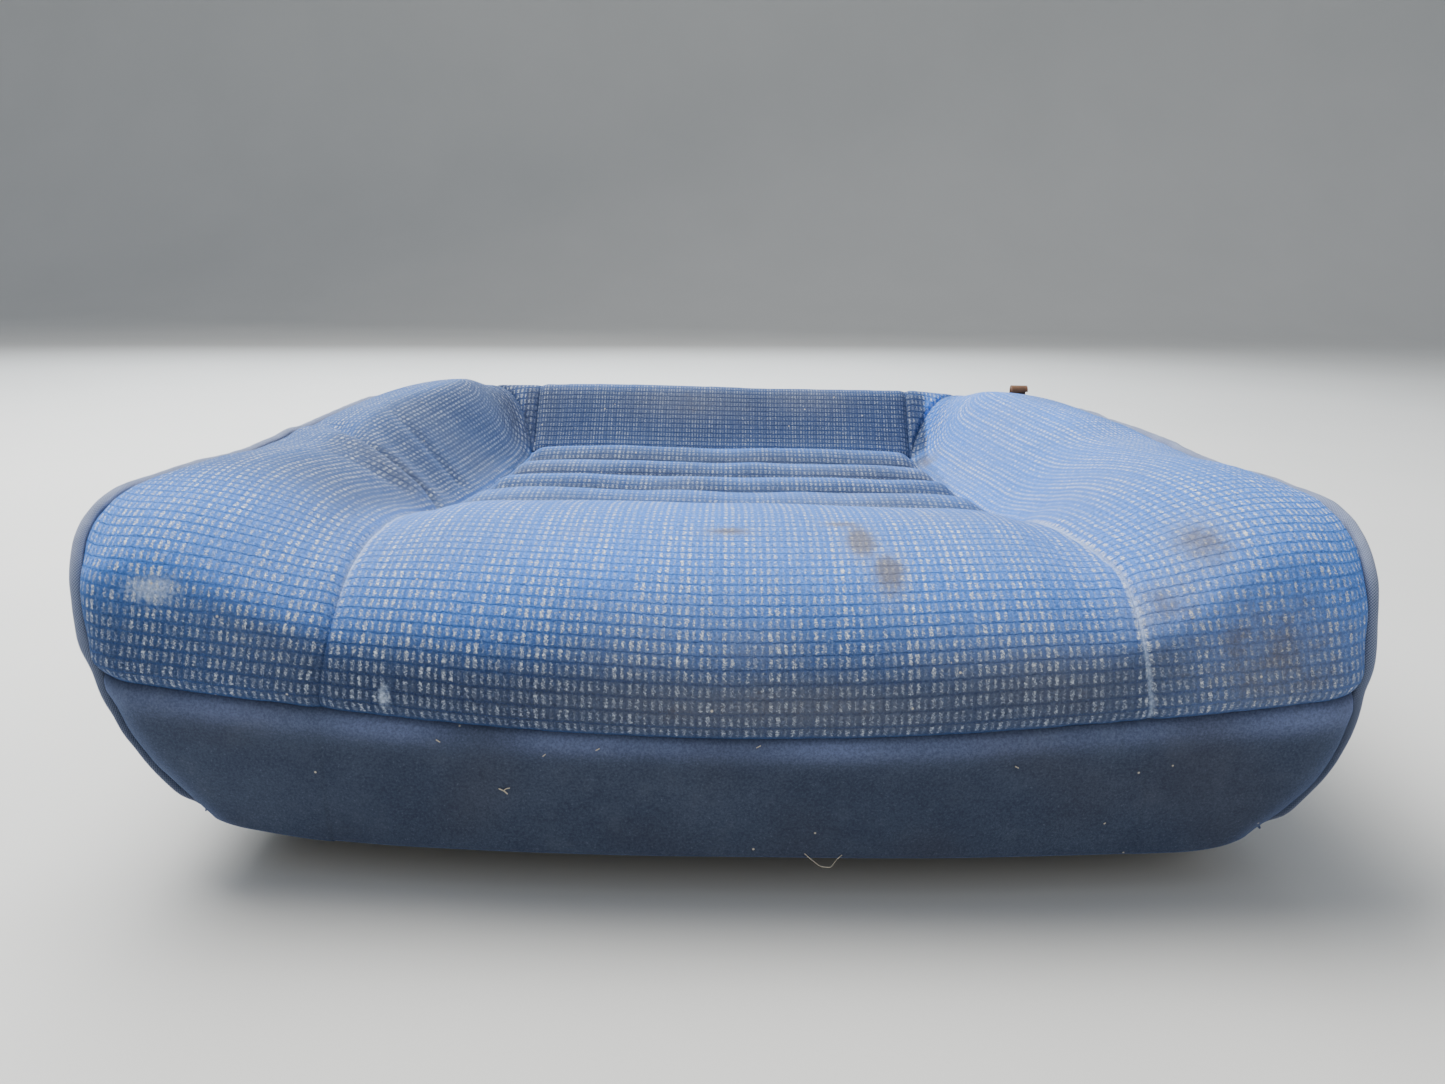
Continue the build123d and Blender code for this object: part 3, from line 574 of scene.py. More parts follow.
def column(side, a, b, c):
    """One line of the cover from the front hem, over the top, to the rear hem, at the panel features' rows.
    a is the share of the middle panels' half width, b of the riser gusset's and c of the bolster's."""
    def across(seam, gusset, edge):
        return side * (a * seam + b * (gusset - seam) + c * (edge - gusset))

    z = np.arange(HEM_Z, 160.0, COLUMN_STEP)
    seam = spline(SEAM_FRONT[side], z)
    x = across(seam, seam, half_width(side, z) - FRONT_R * (1 - math.cos(FRONT_TURN)))
    y = wall_front(x, z)
    stop = int(np.argmax(z >= top_height(side, x, y)))
    front = np.stack([x, y, z], 1)[:max(stop, 2)]
    height = front[:, 2] - hem_z(front[:, 0])
    k = int(np.argmax(height > 0))
    if k:
        share = -height[k - 1] / (height[k] - height[k - 1])
        start = front[k - 1] + (front[k] - front[k - 1]) * share
        front = np.vstack([start, front[k:]]) if share < 0.9 else np.vstack([start, front[k + 1:]])

    y = np.arange(front[-1, 1] + 0.8, 262.0, COLUMN_STEP)
    x = across(spline(SEAM_TOP[side], y), gusset_x(side, y), edge_x(side, y))
    z = top_height(side, x, y)
    stop = int(np.argmax(y >= wall_rear(x, z))) or len(y)
    top = np.stack([x, y, z], 1)[:stop]

    z = np.arange(top[-1, 2] - 0.8, HEM_Z, -COLUMN_STEP)
    seam = spline(SEAM_TOP[side], 250)
    x = across(seam, gusset_x(side, 250), half_width(side, z) - REAR_R * (1 - math.cos(REAR_TURN)))
    rear = np.stack([x, wall_rear(x, z), z], 1)

    line = soften(respace(np.vstack([front, top, rear]), COLUMN_STEP), 7.0, COLUMN_STEP)
    arc = arc_along(line)
    marks = [0.0, crossing(arc, line[:, 2] - valance_z(line[:, 0]), 0.0)]
    lowest = int(np.argmin(line[:, 1]))
    for y_mark in (-160, *FLUTES_Y, 231):
        marks.append(crossing(arc, line[:, 1], y_mark, lowest))
    over = int(np.searchsorted(arc, marks[-1]))
    marks.append(max(crossing(arc, -line[:, 2], -REAR_SEAM_Z, over), marks[-1] + 4))
    marks.append(arc[-1])
    at = [0.0]
    for start, end, count in zip(marks, marks[1:], ROW_COUNTS):
        at += list(np.linspace(start, end, count + 1)[1:])
    at = np.array(at)
    return respace(line, at=at), at


# Rows between the features: hem, valance seam, crest, flute seams, riser top, rear seam, rear hem.
ROW_COUNTS = (20, 44, 44, 26, 24, 26, 22, 24, 8, 40)
ROWS = np.concatenate([[0], np.cumsum(ROW_COUNTS)])
R_VALANCE, R_CREST, R_THIGH, R_FLUTE1, R_FLUTE2, R_FLUTE3, R_RISER, R_LIP, R_REAR, R_END = ROWS[1:]
COLUMNS = {"middle": 50, "gusset": 12, "bolster": 46}


def band(side, kind):
    """A grid of columns: the half of the middle panels on one side, its gusset or its bolster."""
    even = np.linspace(0, 1, COLUMNS[kind] + 1)
    shares = {"middle": 1 - (1 - even) ** 1.35, "gusset": even, "bolster": 0.6 * even + 0.4 * ease(even, 0, 1)}[kind]
    weights = {"middle": lambda t: (t, 0, 0), "gusset": lambda t: (1, t, 0), "bolster": lambda t: (1, 1, t)}[kind]
    lines, arcs = zip(*[column(side, *weights(t)) for t in shares])
    return np.stack(lines, 1), np.stack(arcs, 1)


def normals(grid, least=1e-9):
    """Unit normals of a grid, outward where its columns run front to rear and its rows left to right."""
    du = np.gradient(grid, axis=1)
    dv = np.gradient(grid, axis=0)
    n = np.cross(du, dv)
    length = np.linalg.norm(n, axis=2, keepdims=True)
    return n / np.maximum(length, least)


def lateral(grid):
    """Distance along each row, from the first column."""
    seg = np.linalg.norm(np.diff(grid, axis=1), axis=2)
    return np.concatenate([np.zeros((grid.shape[0], 1)), np.cumsum(seg, axis=1)], axis=1)


def lumps(points, size, seed):
    """Smooth noise from -1 to 1 at each point."""
    flat = points.reshape(-1, 3) / size
    shift = Vector((seed * 17.3, seed * 5.1, seed * 9.7))
    return np.array([noise.noise(Vector(p) + shift) for p in flat]).reshape(points.shape[:-1])


def groove(d, deep, wide):
    return -deep * np.exp(-(d / wide) ** 2)


def row_distance(arc, row):
    """Distance along the columns from one row."""
    return np.abs(arc - arc[row:row + 1])


def seam_relief(d, grid, seed, deep=2.6):
    """A sewn seam: a tight valley, a soft roll beside it and small puckers that die away."""
    pucker = lumps(grid, 8.0, seed) * np.exp(-d / 5.0) * 0.45
    return groove(d, deep, 2.6) + 0.7 * np.exp(-((d - 7) / 4) ** 2) + pucker


def segment_distance(points, line):
    """Signed distance in plan from a polyline, positive towards -Y, and the share along it."""
    best = np.full(points.shape[:-1], 1e9)
    share = np.zeros_like(best)
    sign = np.ones_like(best)
    line = np.array(line, float)
    seg = np.linalg.norm(np.diff(line, axis=0), axis=1)
    total, run = seg.sum(), 0.0
    for (p0, p1), length in zip(zip(line, line[1:]), seg):
        d = (p1 - p0) / length
        rel = points[..., :2] - p0
        t = np.clip(rel @ d, 0, length)
        off = rel - t[..., None] * d
        dist = np.linalg.norm(off, axis=-1)
        nearer = dist < best
        best = np.where(nearer, dist, best)
        share = np.where(nearer, (run + t) / total, share)
        cross = d[0] * rel[..., 1] - d[1] * rel[..., 0]
        sign = np.where(nearer, np.where(cross < 0, 1.0, -1.0), sign)
        run += length
    return best * sign, share


def spot(points, x, y, z, rx, ry, rz):
    """1 at the middle of a soft patch, 0 outside it."""
    d = ((points[..., 0] - x) / rx) ** 2 + ((points[..., 1] - y) / ry) ** 2 + ((points[..., 2] - z) / rz) ** 2
    return np.exp(-d * 1.2)


# Soft patches: the middle, the reach along x, y and z, and the strength.
STAINS = (
    (3, -177, 133, 12, 5, 8, 0.95), (51, -166, 135, 10, 5, 8, 0.9), (57, -186, 130, 7, 18, 14, 1.3),
    (66, -208, 122, 7, 16, 14, 1.3), (205, -238, 105, 55, 30, 34, 0.6), (145, 179, 107, 10, 12, 12, 0.9),
    (186, -212, 139, 14, 22, 16, 0.75),
    (168, -232, 121, 22, 20, 22, 0.6), (120, -240, 95, 60, 30, 22, 0.35), (20, -245, 84, 90, 30, 12, 0.45),
    (-30, 236, 130, 60, 20, 16, 0.55), (60, 238, 134, 40, 20, 14, 0.4), (-60, -180, 132, 8, 8, 8, 0.3),
    (230, -232, 100, 20, 30, 14, 0.35), (100, -150, 134, 30, 18, 12, 0.3), (10, -242, 104, 26, 30, 10, 0.3),
)
# Lint on the valance: each thread's points as x and z, and its radius.
LINT = (
    (((34, 20.5), (36, 18.3), (40, 16.6), (44, 16.2), (47, 17.6), (48.5, 20)), 0.16),
    (((-83.4, 47.2), (-81.6, 46.4), (-80.2, 45.0)), 0.24), (((-81.6, 46.3), (-80.6, 47.4), (-79.2, 47.6)), 0.2),
    (((14, 67), (15.6, 67.8)), 0.2), (((-46, 65), (-44.6, 65.8)), 0.22), (((-106, 67.5), (-104.6, 66.6)), 0.22),
    (((-66, 62), (-64.9, 63)), 0.18), (((112, 60), (113.4, 59.2)), 0.22), (((150, 33), (151.2, 33.8)), 0.22),
)
RUBS = (
    (-213, -237, 121, 18, 14, 9, 0.75), (-125, -246, 84, 3.5, 10, 7, 0.9), (-150, -225, 118, 5, 30, 26, 0.4),
    (160, -232, 118, 5, 22, 30, 0.5), (-205, -244, 108, 14, 14, 8, 0.4),
)


def strongest(points, patches, under):
    """The strongest of the patches at each point, or what is under them."""
    for *where, strength in patches:
        under = np.maximum(under, strength * spot(points, *where))
    return under


def masks(points, n, seam_d):
    """Vertex colour: painted light and shade, how soiled and rubbed the cloth is, and how much of its dashes is left.
    """
    x, y, z = points[..., 0], points[..., 1], points[..., 2]
    up = n[..., 2]
    # Painted light: cloth that faces up is lighter, the upper front is lighter by height, side_light paints light
    # from the left (faces turned right darker) and lightens the bolsters' front corners.
    front = 1 - ease(y, -232, -150)
    side_light = (0.5 * ease(x, 145, 190) + 0.2 * ease(-x, 150, 200)) * front - 0.7 * n[..., 0] * ease(y, -215, -60)
    painted_light = ease(up, 0.06, 1.0) * (1 - 0.5 * front) + 0.5 * front * ease(z, 76, 140)
    painted_light = np.clip(painted_light + side_light + 0.15 * lumps(points, 60.0, 3), 0, 1)
    # Painted shade: the left bolster's top near the front, the riser's lip and the riser's face are darkened.
    painted_light = painted_light - 0.42 * ease(-x, 140, 168) * ease(y, -215, -140)
    painted_light = painted_light - 0.3 * ease(y, 222, 236) * (np.abs(x) < GUSSET_REAR_X)
    painted_light = painted_light * (1 - 0.75 * ease(y, 192, 206) * (np.abs(x) < 150) * (1 - ease(z, 140, 149)))
    # Painted shade: in the dish the flutes' faces turned to the front are darkened.
    behind_roll = (np.abs(x) < DISH_X) * ease(y, *DISH_START)
    in_dish = behind_roll * (1 - ease(y, 190, 198))
    painted_light = np.clip(painted_light - in_dish * (1.5 * np.clip(-n[..., 1], 0, 1) + 0.22), 0, 1)
    soiled = strongest(points, STAINS, np.zeros(points.shape[:-1]))
    soiled = np.maximum(soiled, 0.28 * np.clip(lumps(points, 75.0, 8), 0, 1))
    high = ease(z, 100, 124)
    rubbed = np.where(x > 0, 0.75 + 0.15 * high, 0.35 + 0.5 * high) * (1 - 0.5 * ease(y, 150, 200))
    rubbed = strongest(points, RUBS, rubbed * np.exp(-(seam_d / 1.5) ** 2))
    # Inside the dish the pale dashes have worn away to streaks.
    return np.stack([painted_light, soiled, rubbed, 1 - 0.42 * behind_roll], -1)


# ------------------------------------------------------------------ meshes
def shell(name, grid, n, uv, light_and_wear, thick, material):
    """A closed piece of cloth from a grid: its outside, an inside one thickness in, and rims round the edge."""
    rows, cols = grid.shape[:2]
    outer = grid.reshape(-1, 3)
    inner = (grid - thick * n).reshape(-1, 3)
    index = np.arange(rows * cols).reshape(rows, cols)
    quads = np.stack([index[:-1, :-1], index[:-1, 1:], index[1:, 1:], index[1:, :-1]], -1).reshape(-1, 4)
    back = quads[:, ::-1] + rows * cols
    loop = np.concatenate([index[0, :-1], index[:-1, -1], index[-1, :0:-1], index[:0:-1, 0]])
    after = np.roll(loop, -1)
    rim = np.stack([after, loop, loop + rows * cols, after + rows * cols], -1)
    faces = np.vstack([quads, back, rim])
    OUTSIDES.append((outer, quads, n.reshape(-1, 3)))
    return solid(name, np.vstack([outer, inner]), faces.tolist(), np.tile(uv.reshape(-1, 2), (2, 1)),
                 np.tile(light_and_wear.reshape(-1, 4), (2, 1)), material)


def solid(name, points, faces, uv, light_and_wear, material):
    """A mesh object from points in millimetres, with cloth coordinates in metres and painted light, soiling and wear
    at its points.
    """
    mesh = bpy.data.meshes.new(name)
    mesh.from_pydata((np.asarray(points) * MM).tolist(), [], faces)
    mesh.update()
    corners = np.empty(len(mesh.loops), dtype=np.int32)
    mesh.loops.foreach_get("vertex_index", corners)
    layer = mesh.uv_layers.new(name="cloth")
    layer.data.foreach_set("uv", (np.asarray(uv) * MM)[corners].astype(np.float32).ravel())
    # The colour's first channel is painted light and shade.
    if light_and_wear is not None:
        attribute = mesh.color_attributes.new("light_and_wear", "FLOAT_COLOR", "POINT")
        attribute.data.foreach_set("color", np.asarray(light_and_wear, dtype=np.float32).ravel())
    work = bmesh.new()
    work.from_mesh(mesh)
    bmesh.ops.remove_doubles(work, verts=work.verts, dist=2e-6)
    bmesh.ops.dissolve_degenerate(work, edges=work.edges, dist=2e-6)
    bmesh.ops.recalc_face_normals(work, faces=work.faces)
    work.to_mesh(mesh)
    work.free()
    mesh.polygons.foreach_set("use_smooth", [True] * len(mesh.polygons))
    obj = bpy.data.objects.new(name, mesh)
    bpy.context.collection.objects.link(obj)
    mesh.materials.append(material)
    return obj


def tube(name, path, radii, sides, material, light_and_wear=None):
    """A round bar along a path, with domed ends."""
    path = np.asarray(path, float)
    radii = np.broadcast_to(np.asarray(radii, float), (len(path),)).copy()
    tangent = np.gradient(path, axis=0)
    tangent /= np.linalg.norm(tangent, axis=1, keepdims=True)
    up = np.array([0.0, 0.0, 1.0]) if abs(tangent[0][2]) < 0.9 else np.array([0.0, 1.0, 0.0])
    frames = []
    for t in tangent:
        up = up - t * (up @ t)
        up /= np.linalg.norm(up)
        frames.append((up, np.cross(t, up)))
    arc = arc_along(path)
    angle = np.linspace(0, 2 * math.pi, sides, endpoint=False)
    points, uv = [], []
    for p, r, (u, v), s in zip(path, radii, frames, arc):
        for w in angle:
            points.append(p + r * (math.cos(w) * u + math.sin(w) * v))
            uv.append((w * r, s))
    faces = []
    for k in range(len(path) - 1):
        for j in range(sides):
            a, b = k * sides + j, k * sides + (j + 1) % sides
            faces.append([a, b, b + sides, a + sides])
    count = len(path) * sides
    points += [path[0] - tangent[0] * radii[0] * 0.6, path[-1] + tangent[-1] * radii[-1] * 0.6]
    uv += [(0, 0), (0, arc[-1])]
    for j in range(sides):
        faces.append([count, (j + 1) % sides, j])
        faces.append([count + 1, count - sides + j, count - sides + (j + 1) % sides])
    marks = None if light_and_wear is None else np.tile(np.array(light_and_wear, float), (len(points), 1))
    return solid(name, points, faces, uv, marks, material)


PAINTS = {}
OUTSIDES = []


def make_cover():
    """Every panel of the sewn cover, by name."""
    made, edges = {}, {}
    bands = {side: {kind: band(side, kind) for kind in COLUMNS} for side in (-1, 1)}
    left, right = bands[-1]["middle"], bands[1]["middle"]
    middle = np.concatenate([left[0][:, :0:-1], right[0]], 1)
    mid_arc = np.concatenate([left[1][:, :0:-1], right[1]], 1)
    across = {side: lateral(bands[side]["middle"][0]) for side in (-1, 1)}
    whole = {side: lat[:, -1:] - lat for side, lat in across.items()}
    mid_d = np.concatenate([whole[-1][:, :0:-1], whole[1]], 1)
    mid_u = np.concatenate([-across[-1][:, :0:-1], across[1]], 1)

    # How deep the valley beside the middle panels is, by row.
    rows = np.arange(R_END + 1)
    valley = np.interp(rows, [0, R_VALANCE, R_VALANCE + 24, R_CREST, R_THIGH - 8, R_THIGH, R_FLUTE1, R_RISER, R_LIP,
                              R_REAR, R_END], [0, 0.4, 2.6, 7.5, 8, 4.5, 2.2, 2, 1, 0, 0])[:, None]
    stitch = np.interp(rows, [0, R_VALANCE - 5, R_VALANCE, R_CREST, R_RISER, R_LIP, R_REAR, R_END],
                       [0, 0, 1.0, 1.7, 2.0, 1.2, 0.6, 0])[:, None]

    def common(grid, arc, seed):
        """Relief that every panel shares: cross seams by row, and the cloth's slack."""
        d = lumps(grid, 80.0, seed) * 1.3 + lumps(grid, 34.0, seed + 1) * 0.25
        d += seam_relief(row_distance(arc, R_VALANCE), grid, 21, 1.7)
        above = (np.arange(len(grid)) > R_VALANCE)[:, None]
        d += 0.6 * np.exp(-((row_distance(arc, R_VALANCE) - 9) / 7) ** 2) * above
        d += groove(row_distance(arc, R_REAR), 2.0, 3.0)
        return d

    d_mid = common(middle, mid_arc, 5)
    d_mid += groove(mid_d, 1.0, 20.0) * valley
    d_mid += (groove(mid_d, 1.0, 2.4) + 0.3 * np.exp(-((mid_d - 7) / 4) ** 2)) * stitch
    d_mid += lumps(middle, 9.0, 31) * np.exp(-mid_d / 5.0) * 0.25 * stitch
    for first, last in zip((R_THIGH, R_FLUTE1, R_FLUTE2, R_FLUTE3), (R_FLUTE1, R_FLUTE2, R_FLUTE3, R_RISER)):
        t = np.clip((rows - first) / (last - first), 0, 1)[:, None]
        inside = ((rows >= first) & (rows <= last))[:, None]
        bulge = ((1 - (2 * t - 1) ** 2) ** 0.85 * 11.5 - 1.0) * ease(mid_d, -6, 14)
        wave = lumps(middle, 34.0, 50 + first) * 1.2 * (1 - np.abs(2 * t - 1))
        d_mid += np.where(inside, bulge + wave, 0)
    for row in (R_THIGH, R_FLUTE1, R_FLUTE2, R_FLUTE3, R_RISER):
        gap = row_distance(mid_arc, row)
        d_mid += groove(gap, 2.2, 2.0) + lumps(middle, 8.0, 60 + row) * np.exp(-gap / 5.0) * 0.5
    n_mid = normals(middle)
    shaped = middle + n_mid * d_mid[..., None]

    seam_rows = np.minimum.reduce([row_distance(mid_arc, r) for r in (R_VALANCE, R_THIGH, R_RISER)])
    light_and_wear_mid = masks(shaped, normals(shaped), np.minimum(mid_d, seam_rows + 1.5))
    panels = (
        ("thigh_cover", R_VALANCE, R_THIGH), ("insert_cover", R_THIGH, R_RISER), ("riser_cover", R_RISER, R_REAR),
    )
    for name, first, last in panels:
        cut = slice(first, last + 1)
        uv = np.stack([mid_u[cut], mid_arc[cut] - mid_arc[first:first + 1]], -1)
        scale = 0.72 if name == "riser_cover" else 1.0
        made[name] = shell(name, shaped[cut], normals(shaped)[cut], uv / scale, light_and_wear_mid[cut], COVER_THICK,
                           PAINTS["patterned"])

    creases = (
        (((-236, 40), (-203, -8), (-181, -19), (-161, -26), (-148, -37)), 9.0, 5.0, 5.5),
        (((-228, 92), (-196, 60), (-158, 42)), 1.8, 6.0, 1.2),
        (((-222, -70), (-190, -62), (-158, -52)), 1.6, 7.0, 1.0),
    )
    lower, upper = {}, {}
    for side, word in SIDES.items():
        rim = -1 if side > 0 else 0
        grid, arc = bands[side]["bolster"]
        from_seam = lateral(grid)
        from_edge = from_seam[:, -1:] - from_seam
        d = common(grid, arc, 7 + side)
        d += groove(from_seam, 1.0, 24.0) * valley + groove(from_seam, 1.0, 2.4) * stitch
        d += lumps(grid, 9.0, 40 + side) * np.exp(-from_seam / 5.0) * 0.25 * stitch
        d += 0.3 * np.exp(-((from_seam - 7) / 4) ** 2) * stitch
        d += groove(from_edge, 2.0, 3.0) + lumps(grid, 12.0, 44 + side) * np.exp(-from_edge / 10.0) * 0.8
        if side < 0:
            for line, deep, wide, roll in creases:
                off, share = segment_distance(grid, line)
                depth = deep * (0.25 + 0.75 * ease(share, 0.0, 0.75))
                on_top = ease(grid[..., 2], 96, 104) * ease(share, 0.0, 0.12) * (0.3 + 0.7 * ease(from_seam, 1, 14))
                swell = roll * np.exp(-((off - 17) / 13) ** 2) + 0.35 * roll * np.exp(-((off + 13) / 9) ** 2)
                d += on_top * (-depth * np.exp(-(off / wide) ** 2) + swell * (0.4 + 0.6 * share))
        n = normals(grid) * side
        body = grid + n * d[..., None]
        # The first column is the seam that the middle panels or the gusset end on.
        body[:R_RISER + 1, 0] = shaped[:R_RISER + 1, rim]
        g_grid, g_arc = bands[side]["gusset"]
        g_lat = lateral(g_grid)
        g_d = common(g_grid, g_arc, 7 + side)
        g_d = g_d + (groove(g_lat, 1.0, 2.0) + groove(g_lat[:, -1:] - g_lat, 1.0, 2.0)) * stitch
        g_d += groove(row_distance(g_arc, R_RISER), 1.8, 2.0)
        g_n = normals(g_grid, 1e-6) * side
        g_n[:R_RISER + 2] = n[:R_RISER + 2, :1]
        g_shape = g_grid + g_n * g_d[..., None]
        g_shape[R_RISER:, 0] = shaped[R_RISER:, rim]
        g_shape[R_RISER:, -1] = 0.5 * (g_shape[R_RISER:, -1] + body[R_RISER:, 0])
        g_shape[R_RISER, :] = shaped[R_RISER, rim]
        body[R_RISER:, 0] = g_shape[R_RISER:, -1]
        light_and_wear = masks(body, n, np.minimum(from_seam, from_edge))
        cut = slice(R_VALANCE, R_REAR + 1)
        u = from_seam * side
        uv = np.stack([u[cut], arc[cut] - arc[R_VALANCE:R_VALANCE + 1]], -1)
        flip = slice(None) if side > 0 else slice(None, None, -1)
        made[f"bolster_{word}"] = shell(f"bolster_panel_{word}", body[cut][:, flip], n[cut][:, flip], uv[:, flip],
                                        light_and_wear[cut][:, flip], COVER_THICK, PAINTS["patterned"])
        cut = slice(R_RISER, R_REAR + 1)
        uv = np.stack([g_lat[cut] * side, g_arc[cut] - g_arc[R_RISER:R_RISER + 1]], -1)
        g_light_and_wear = masks(g_shape, g_n, np.minimum(g_lat, g_lat[:, -1:] - g_lat))
        made[f"gusset_{word}"] = shell(f"gusset_panel_{word}", g_shape[cut][:, flip], g_n[cut][:, flip],
                                       uv[:, flip], g_light_and_wear[cut][:, flip], GUSSET_THICK, PAINTS["patterned"])
        edges[side] = body[:, -1]
        lower[side] = body[:R_VALANCE + 1]
        upper[side] = (body[R_REAR:], g_shape[R_REAR:])
    return made, edges, shaped, lower, upper


def turned_under(rim, inward, reach=13.0):
    """Rows that carry a hem round a tight fold and in under the cushion. rim is a row of points."""
    steps = ((0.0, 0.0), (0.5, -0.8), (1.4, -1.4), (2.8, -1.6), (6.0, -1.2), (reach, 0.4))
    return np.stack([rim + inward * a + np.array([0, 0, b]) for a, b in steps[:0:-1]])


# First channel: painted highlight; second channel: dirt.
def plain_light_and_dirt(points, light):
    flat = np.zeros(points.shape[:-1] + (4,))
    flat[..., 0] = np.clip(light, 0, 1)
    flat[..., 1] = np.clip(lumps(points, 40.0, 13), 0, 1) * 0.5
    flat[..., 3] = 1
    return flat


def inward_of(rim):
    """Unit directions in plan from a hem's points to the cushion's middle line."""
    middle = np.stack([rim[..., 0] * 0.45, rim[..., 1] * 0.55, rim[..., 2]], -1)
    d = middle - rim
    return d / np.linalg.norm(d, axis=-1, keepdims=True)


def make_valance(shaped, lower):
    """The plain front valance, from the velour's seam down and round the hem."""
    left, right = lower[-1], lower[1]
    grid = np.concatenate([left[:, :0:-1], shaped[:R_VALANCE + 1], right[:, 1:]], 1)
    below = np.linspace(1, 0, R_VALANCE + 1)[:, None]
    n = normals(grid)
    sag = (0.4 + lumps(grid * np.array([1, 1, 0.4]), 55.0, 91) * 1.3) * np.sin(below * math.pi)
    ripple = lumps(grid * np.array([1, 1, 0.25]), 16.0, 92) * 0.5 * np.exp(-below * 4)
    grid = grid + n * (sag + ripple)[..., None]
    under = turned_under(grid[0], inward_of(grid[0]))
    grid = np.concatenate([under, grid], 0)
    n = normals(grid)
    lat = lateral(grid)
    arc = arc_along(grid[:, len(grid[0]) // 2])
    uv = np.stack([lat, np.broadcast_to(arc[:, None], lat.shape)], -1)
    from_top = (arc[-1] - arc)[:, None]
    # Painted highlight: a pale band just under the valance seam.
    painted_band_highlight = np.exp(-((from_top - 4) / 5) ** 2) * (0.6 + 0.7 * lumps(grid, 45.0, 95))
    return shell("front_valance_panel", grid, n, uv, plain_light_and_dirt(grid, painted_band_highlight), COVER_THICK, PAINTS["plain"])


def add_lint(valance):
    """A loose sewing thread and curls of lint caught on the valance, joined into its mesh."""
    surface = BVHTree.FromPolygons([v.co for v in valance.data.vertices], [p.vertices for p in valance.data.polygons])
    made = [valance]
    for number, (curl, thick) in enumerate(LINT):
        line = []
        for x, z in curl:
            near = surface.ray_cast(Vector((x * MM, -0.35, z * MM)), Vector((0, 1, 0)))[0]
            line.append((x, near.y / MM - 0.6 if near else -246.0, z))
        line = soften(respace(np.array(line, float), 0.3), 0.5, 0.3)
        made.append(tube(f"lint_{number}", line, thick, 6, PAINTS["plain"], (0, 0, 1, 1)))
    with bpy.context.temp_override(active_object=valance, selected_editable_objects=made):
        bpy.ops.object.join()
    return valance


def make_rear(shaped, upper):
    """The plain rear skirt."""
    parts = []
    for side in (-1, 1):
        body, gusset = upper[side]
        piece = np.concatenate([gusset, body[:, 1:]], 1)
        parts.append(piece[:, :0:-1] if side < 0 else piece[:, 1:])
    grid = np.concatenate([parts[0], shaped[R_REAR:], parts[1]], 1)
    down = np.linspace(0, 1, len(grid))[:, None]
    n = normals(grid)
    slack = lumps(grid * np.array([1, 1, 0.35]), 48.0, 97) * 2.2 * np.sin(down * math.pi)
    grid = grid + n * slack[..., None]
    under = turned_under(grid[-1], inward_of(grid[-1]))[::-1]
    grid = np.concatenate([grid, under], 0)
    n = normals(grid)
    return skirt("rear_skirt_panel", grid, n, 0.2, 6)


def skirt(name, grid, n, light, fall):
    """A plain skirt from its grid. It is paler by light at the top and that dies away over fall."""
    lat = lateral(grid)
    down = np.linspace(0, 1, len(grid))[:, None]
    uv = np.stack([lat, np.broadcast_to(down * SKIRT_DROP, lat.shape)], -1)
    return shell(name, grid, n, uv, plain_light_and_dirt(grid, light * np.exp(-fall * down)), COVER_THICK, PAINTS["plain"])


def make_side(side, edge):
    """A plain side skirt, fanned from the piping's line to the hem."""
    count, drops = 190, 40
    arc = arc_along(edge)
    line = respace(edge, at=np.linspace(0, arc[-1], count))
    share = np.linspace(0, 1, count)
    hem_front, hem_rear = line[0], line[-1]
    hem_y = hem_front[1] + (hem_rear[1] - hem_front[1]) * (0.25 * share + 0.75 * ease(share, 0.1, 0.9))
    hem = 24.0 - 4.6 * ease(share, 0.02, 0.2)
    hem[0], hem[-1] = hem_front[2], hem_rear[2]
    rows = []
    for k in range(drops + 1):
        t = k / drops
        y = line[:, 1] * (1 - t) + hem_y * t
        zz = line[:, 2] * (1 - t) + hem * t
        x = wall_side(side, y, zz)
        start = np.abs(line[:, 0]) - wall_side(side, line[:, 1], line[:, 2])
        x = x + start * (1 - t) ** 3
        rows.append(np.stack([side * x, y, zz], 1))
    grid = np.stack(rows, 0)
    depth = np.linspace(0, 1, drops + 1)[:, None]
    n = normals(grid) if side < 0 else -normals(grid)
    outward = n[drops // 2, count // 2, 0] * side
    n = n * (1 if outward > 0 else -1)
    hold = np.sin(depth * math.pi) * np.sin(share * math.pi)[None, :] ** 0.4
    slack = (lumps(grid * np.array([1, 1, 0.4]), 60.0, 101 + side) * 3.2 + lumps(grid, 22.0, 103 + side) * 0.9) * hold
    slack = slack - 3.0 * hold
    grid = grid + n * slack[..., None]
    under = turned_under(grid[-1], np.tile([-side, 0, 0], (count, 1)).astype(float), reach=7.0)[::-1]
    grid = np.concatenate([grid, under], 0)
    n = normals(grid)
    n = n * (1 if n[drops // 2, count // 2, 0] * side > 0 else -1)
    return skirt(f"side_skirt_panel_{SIDES[side]}", grid, n, 0.35, 9)


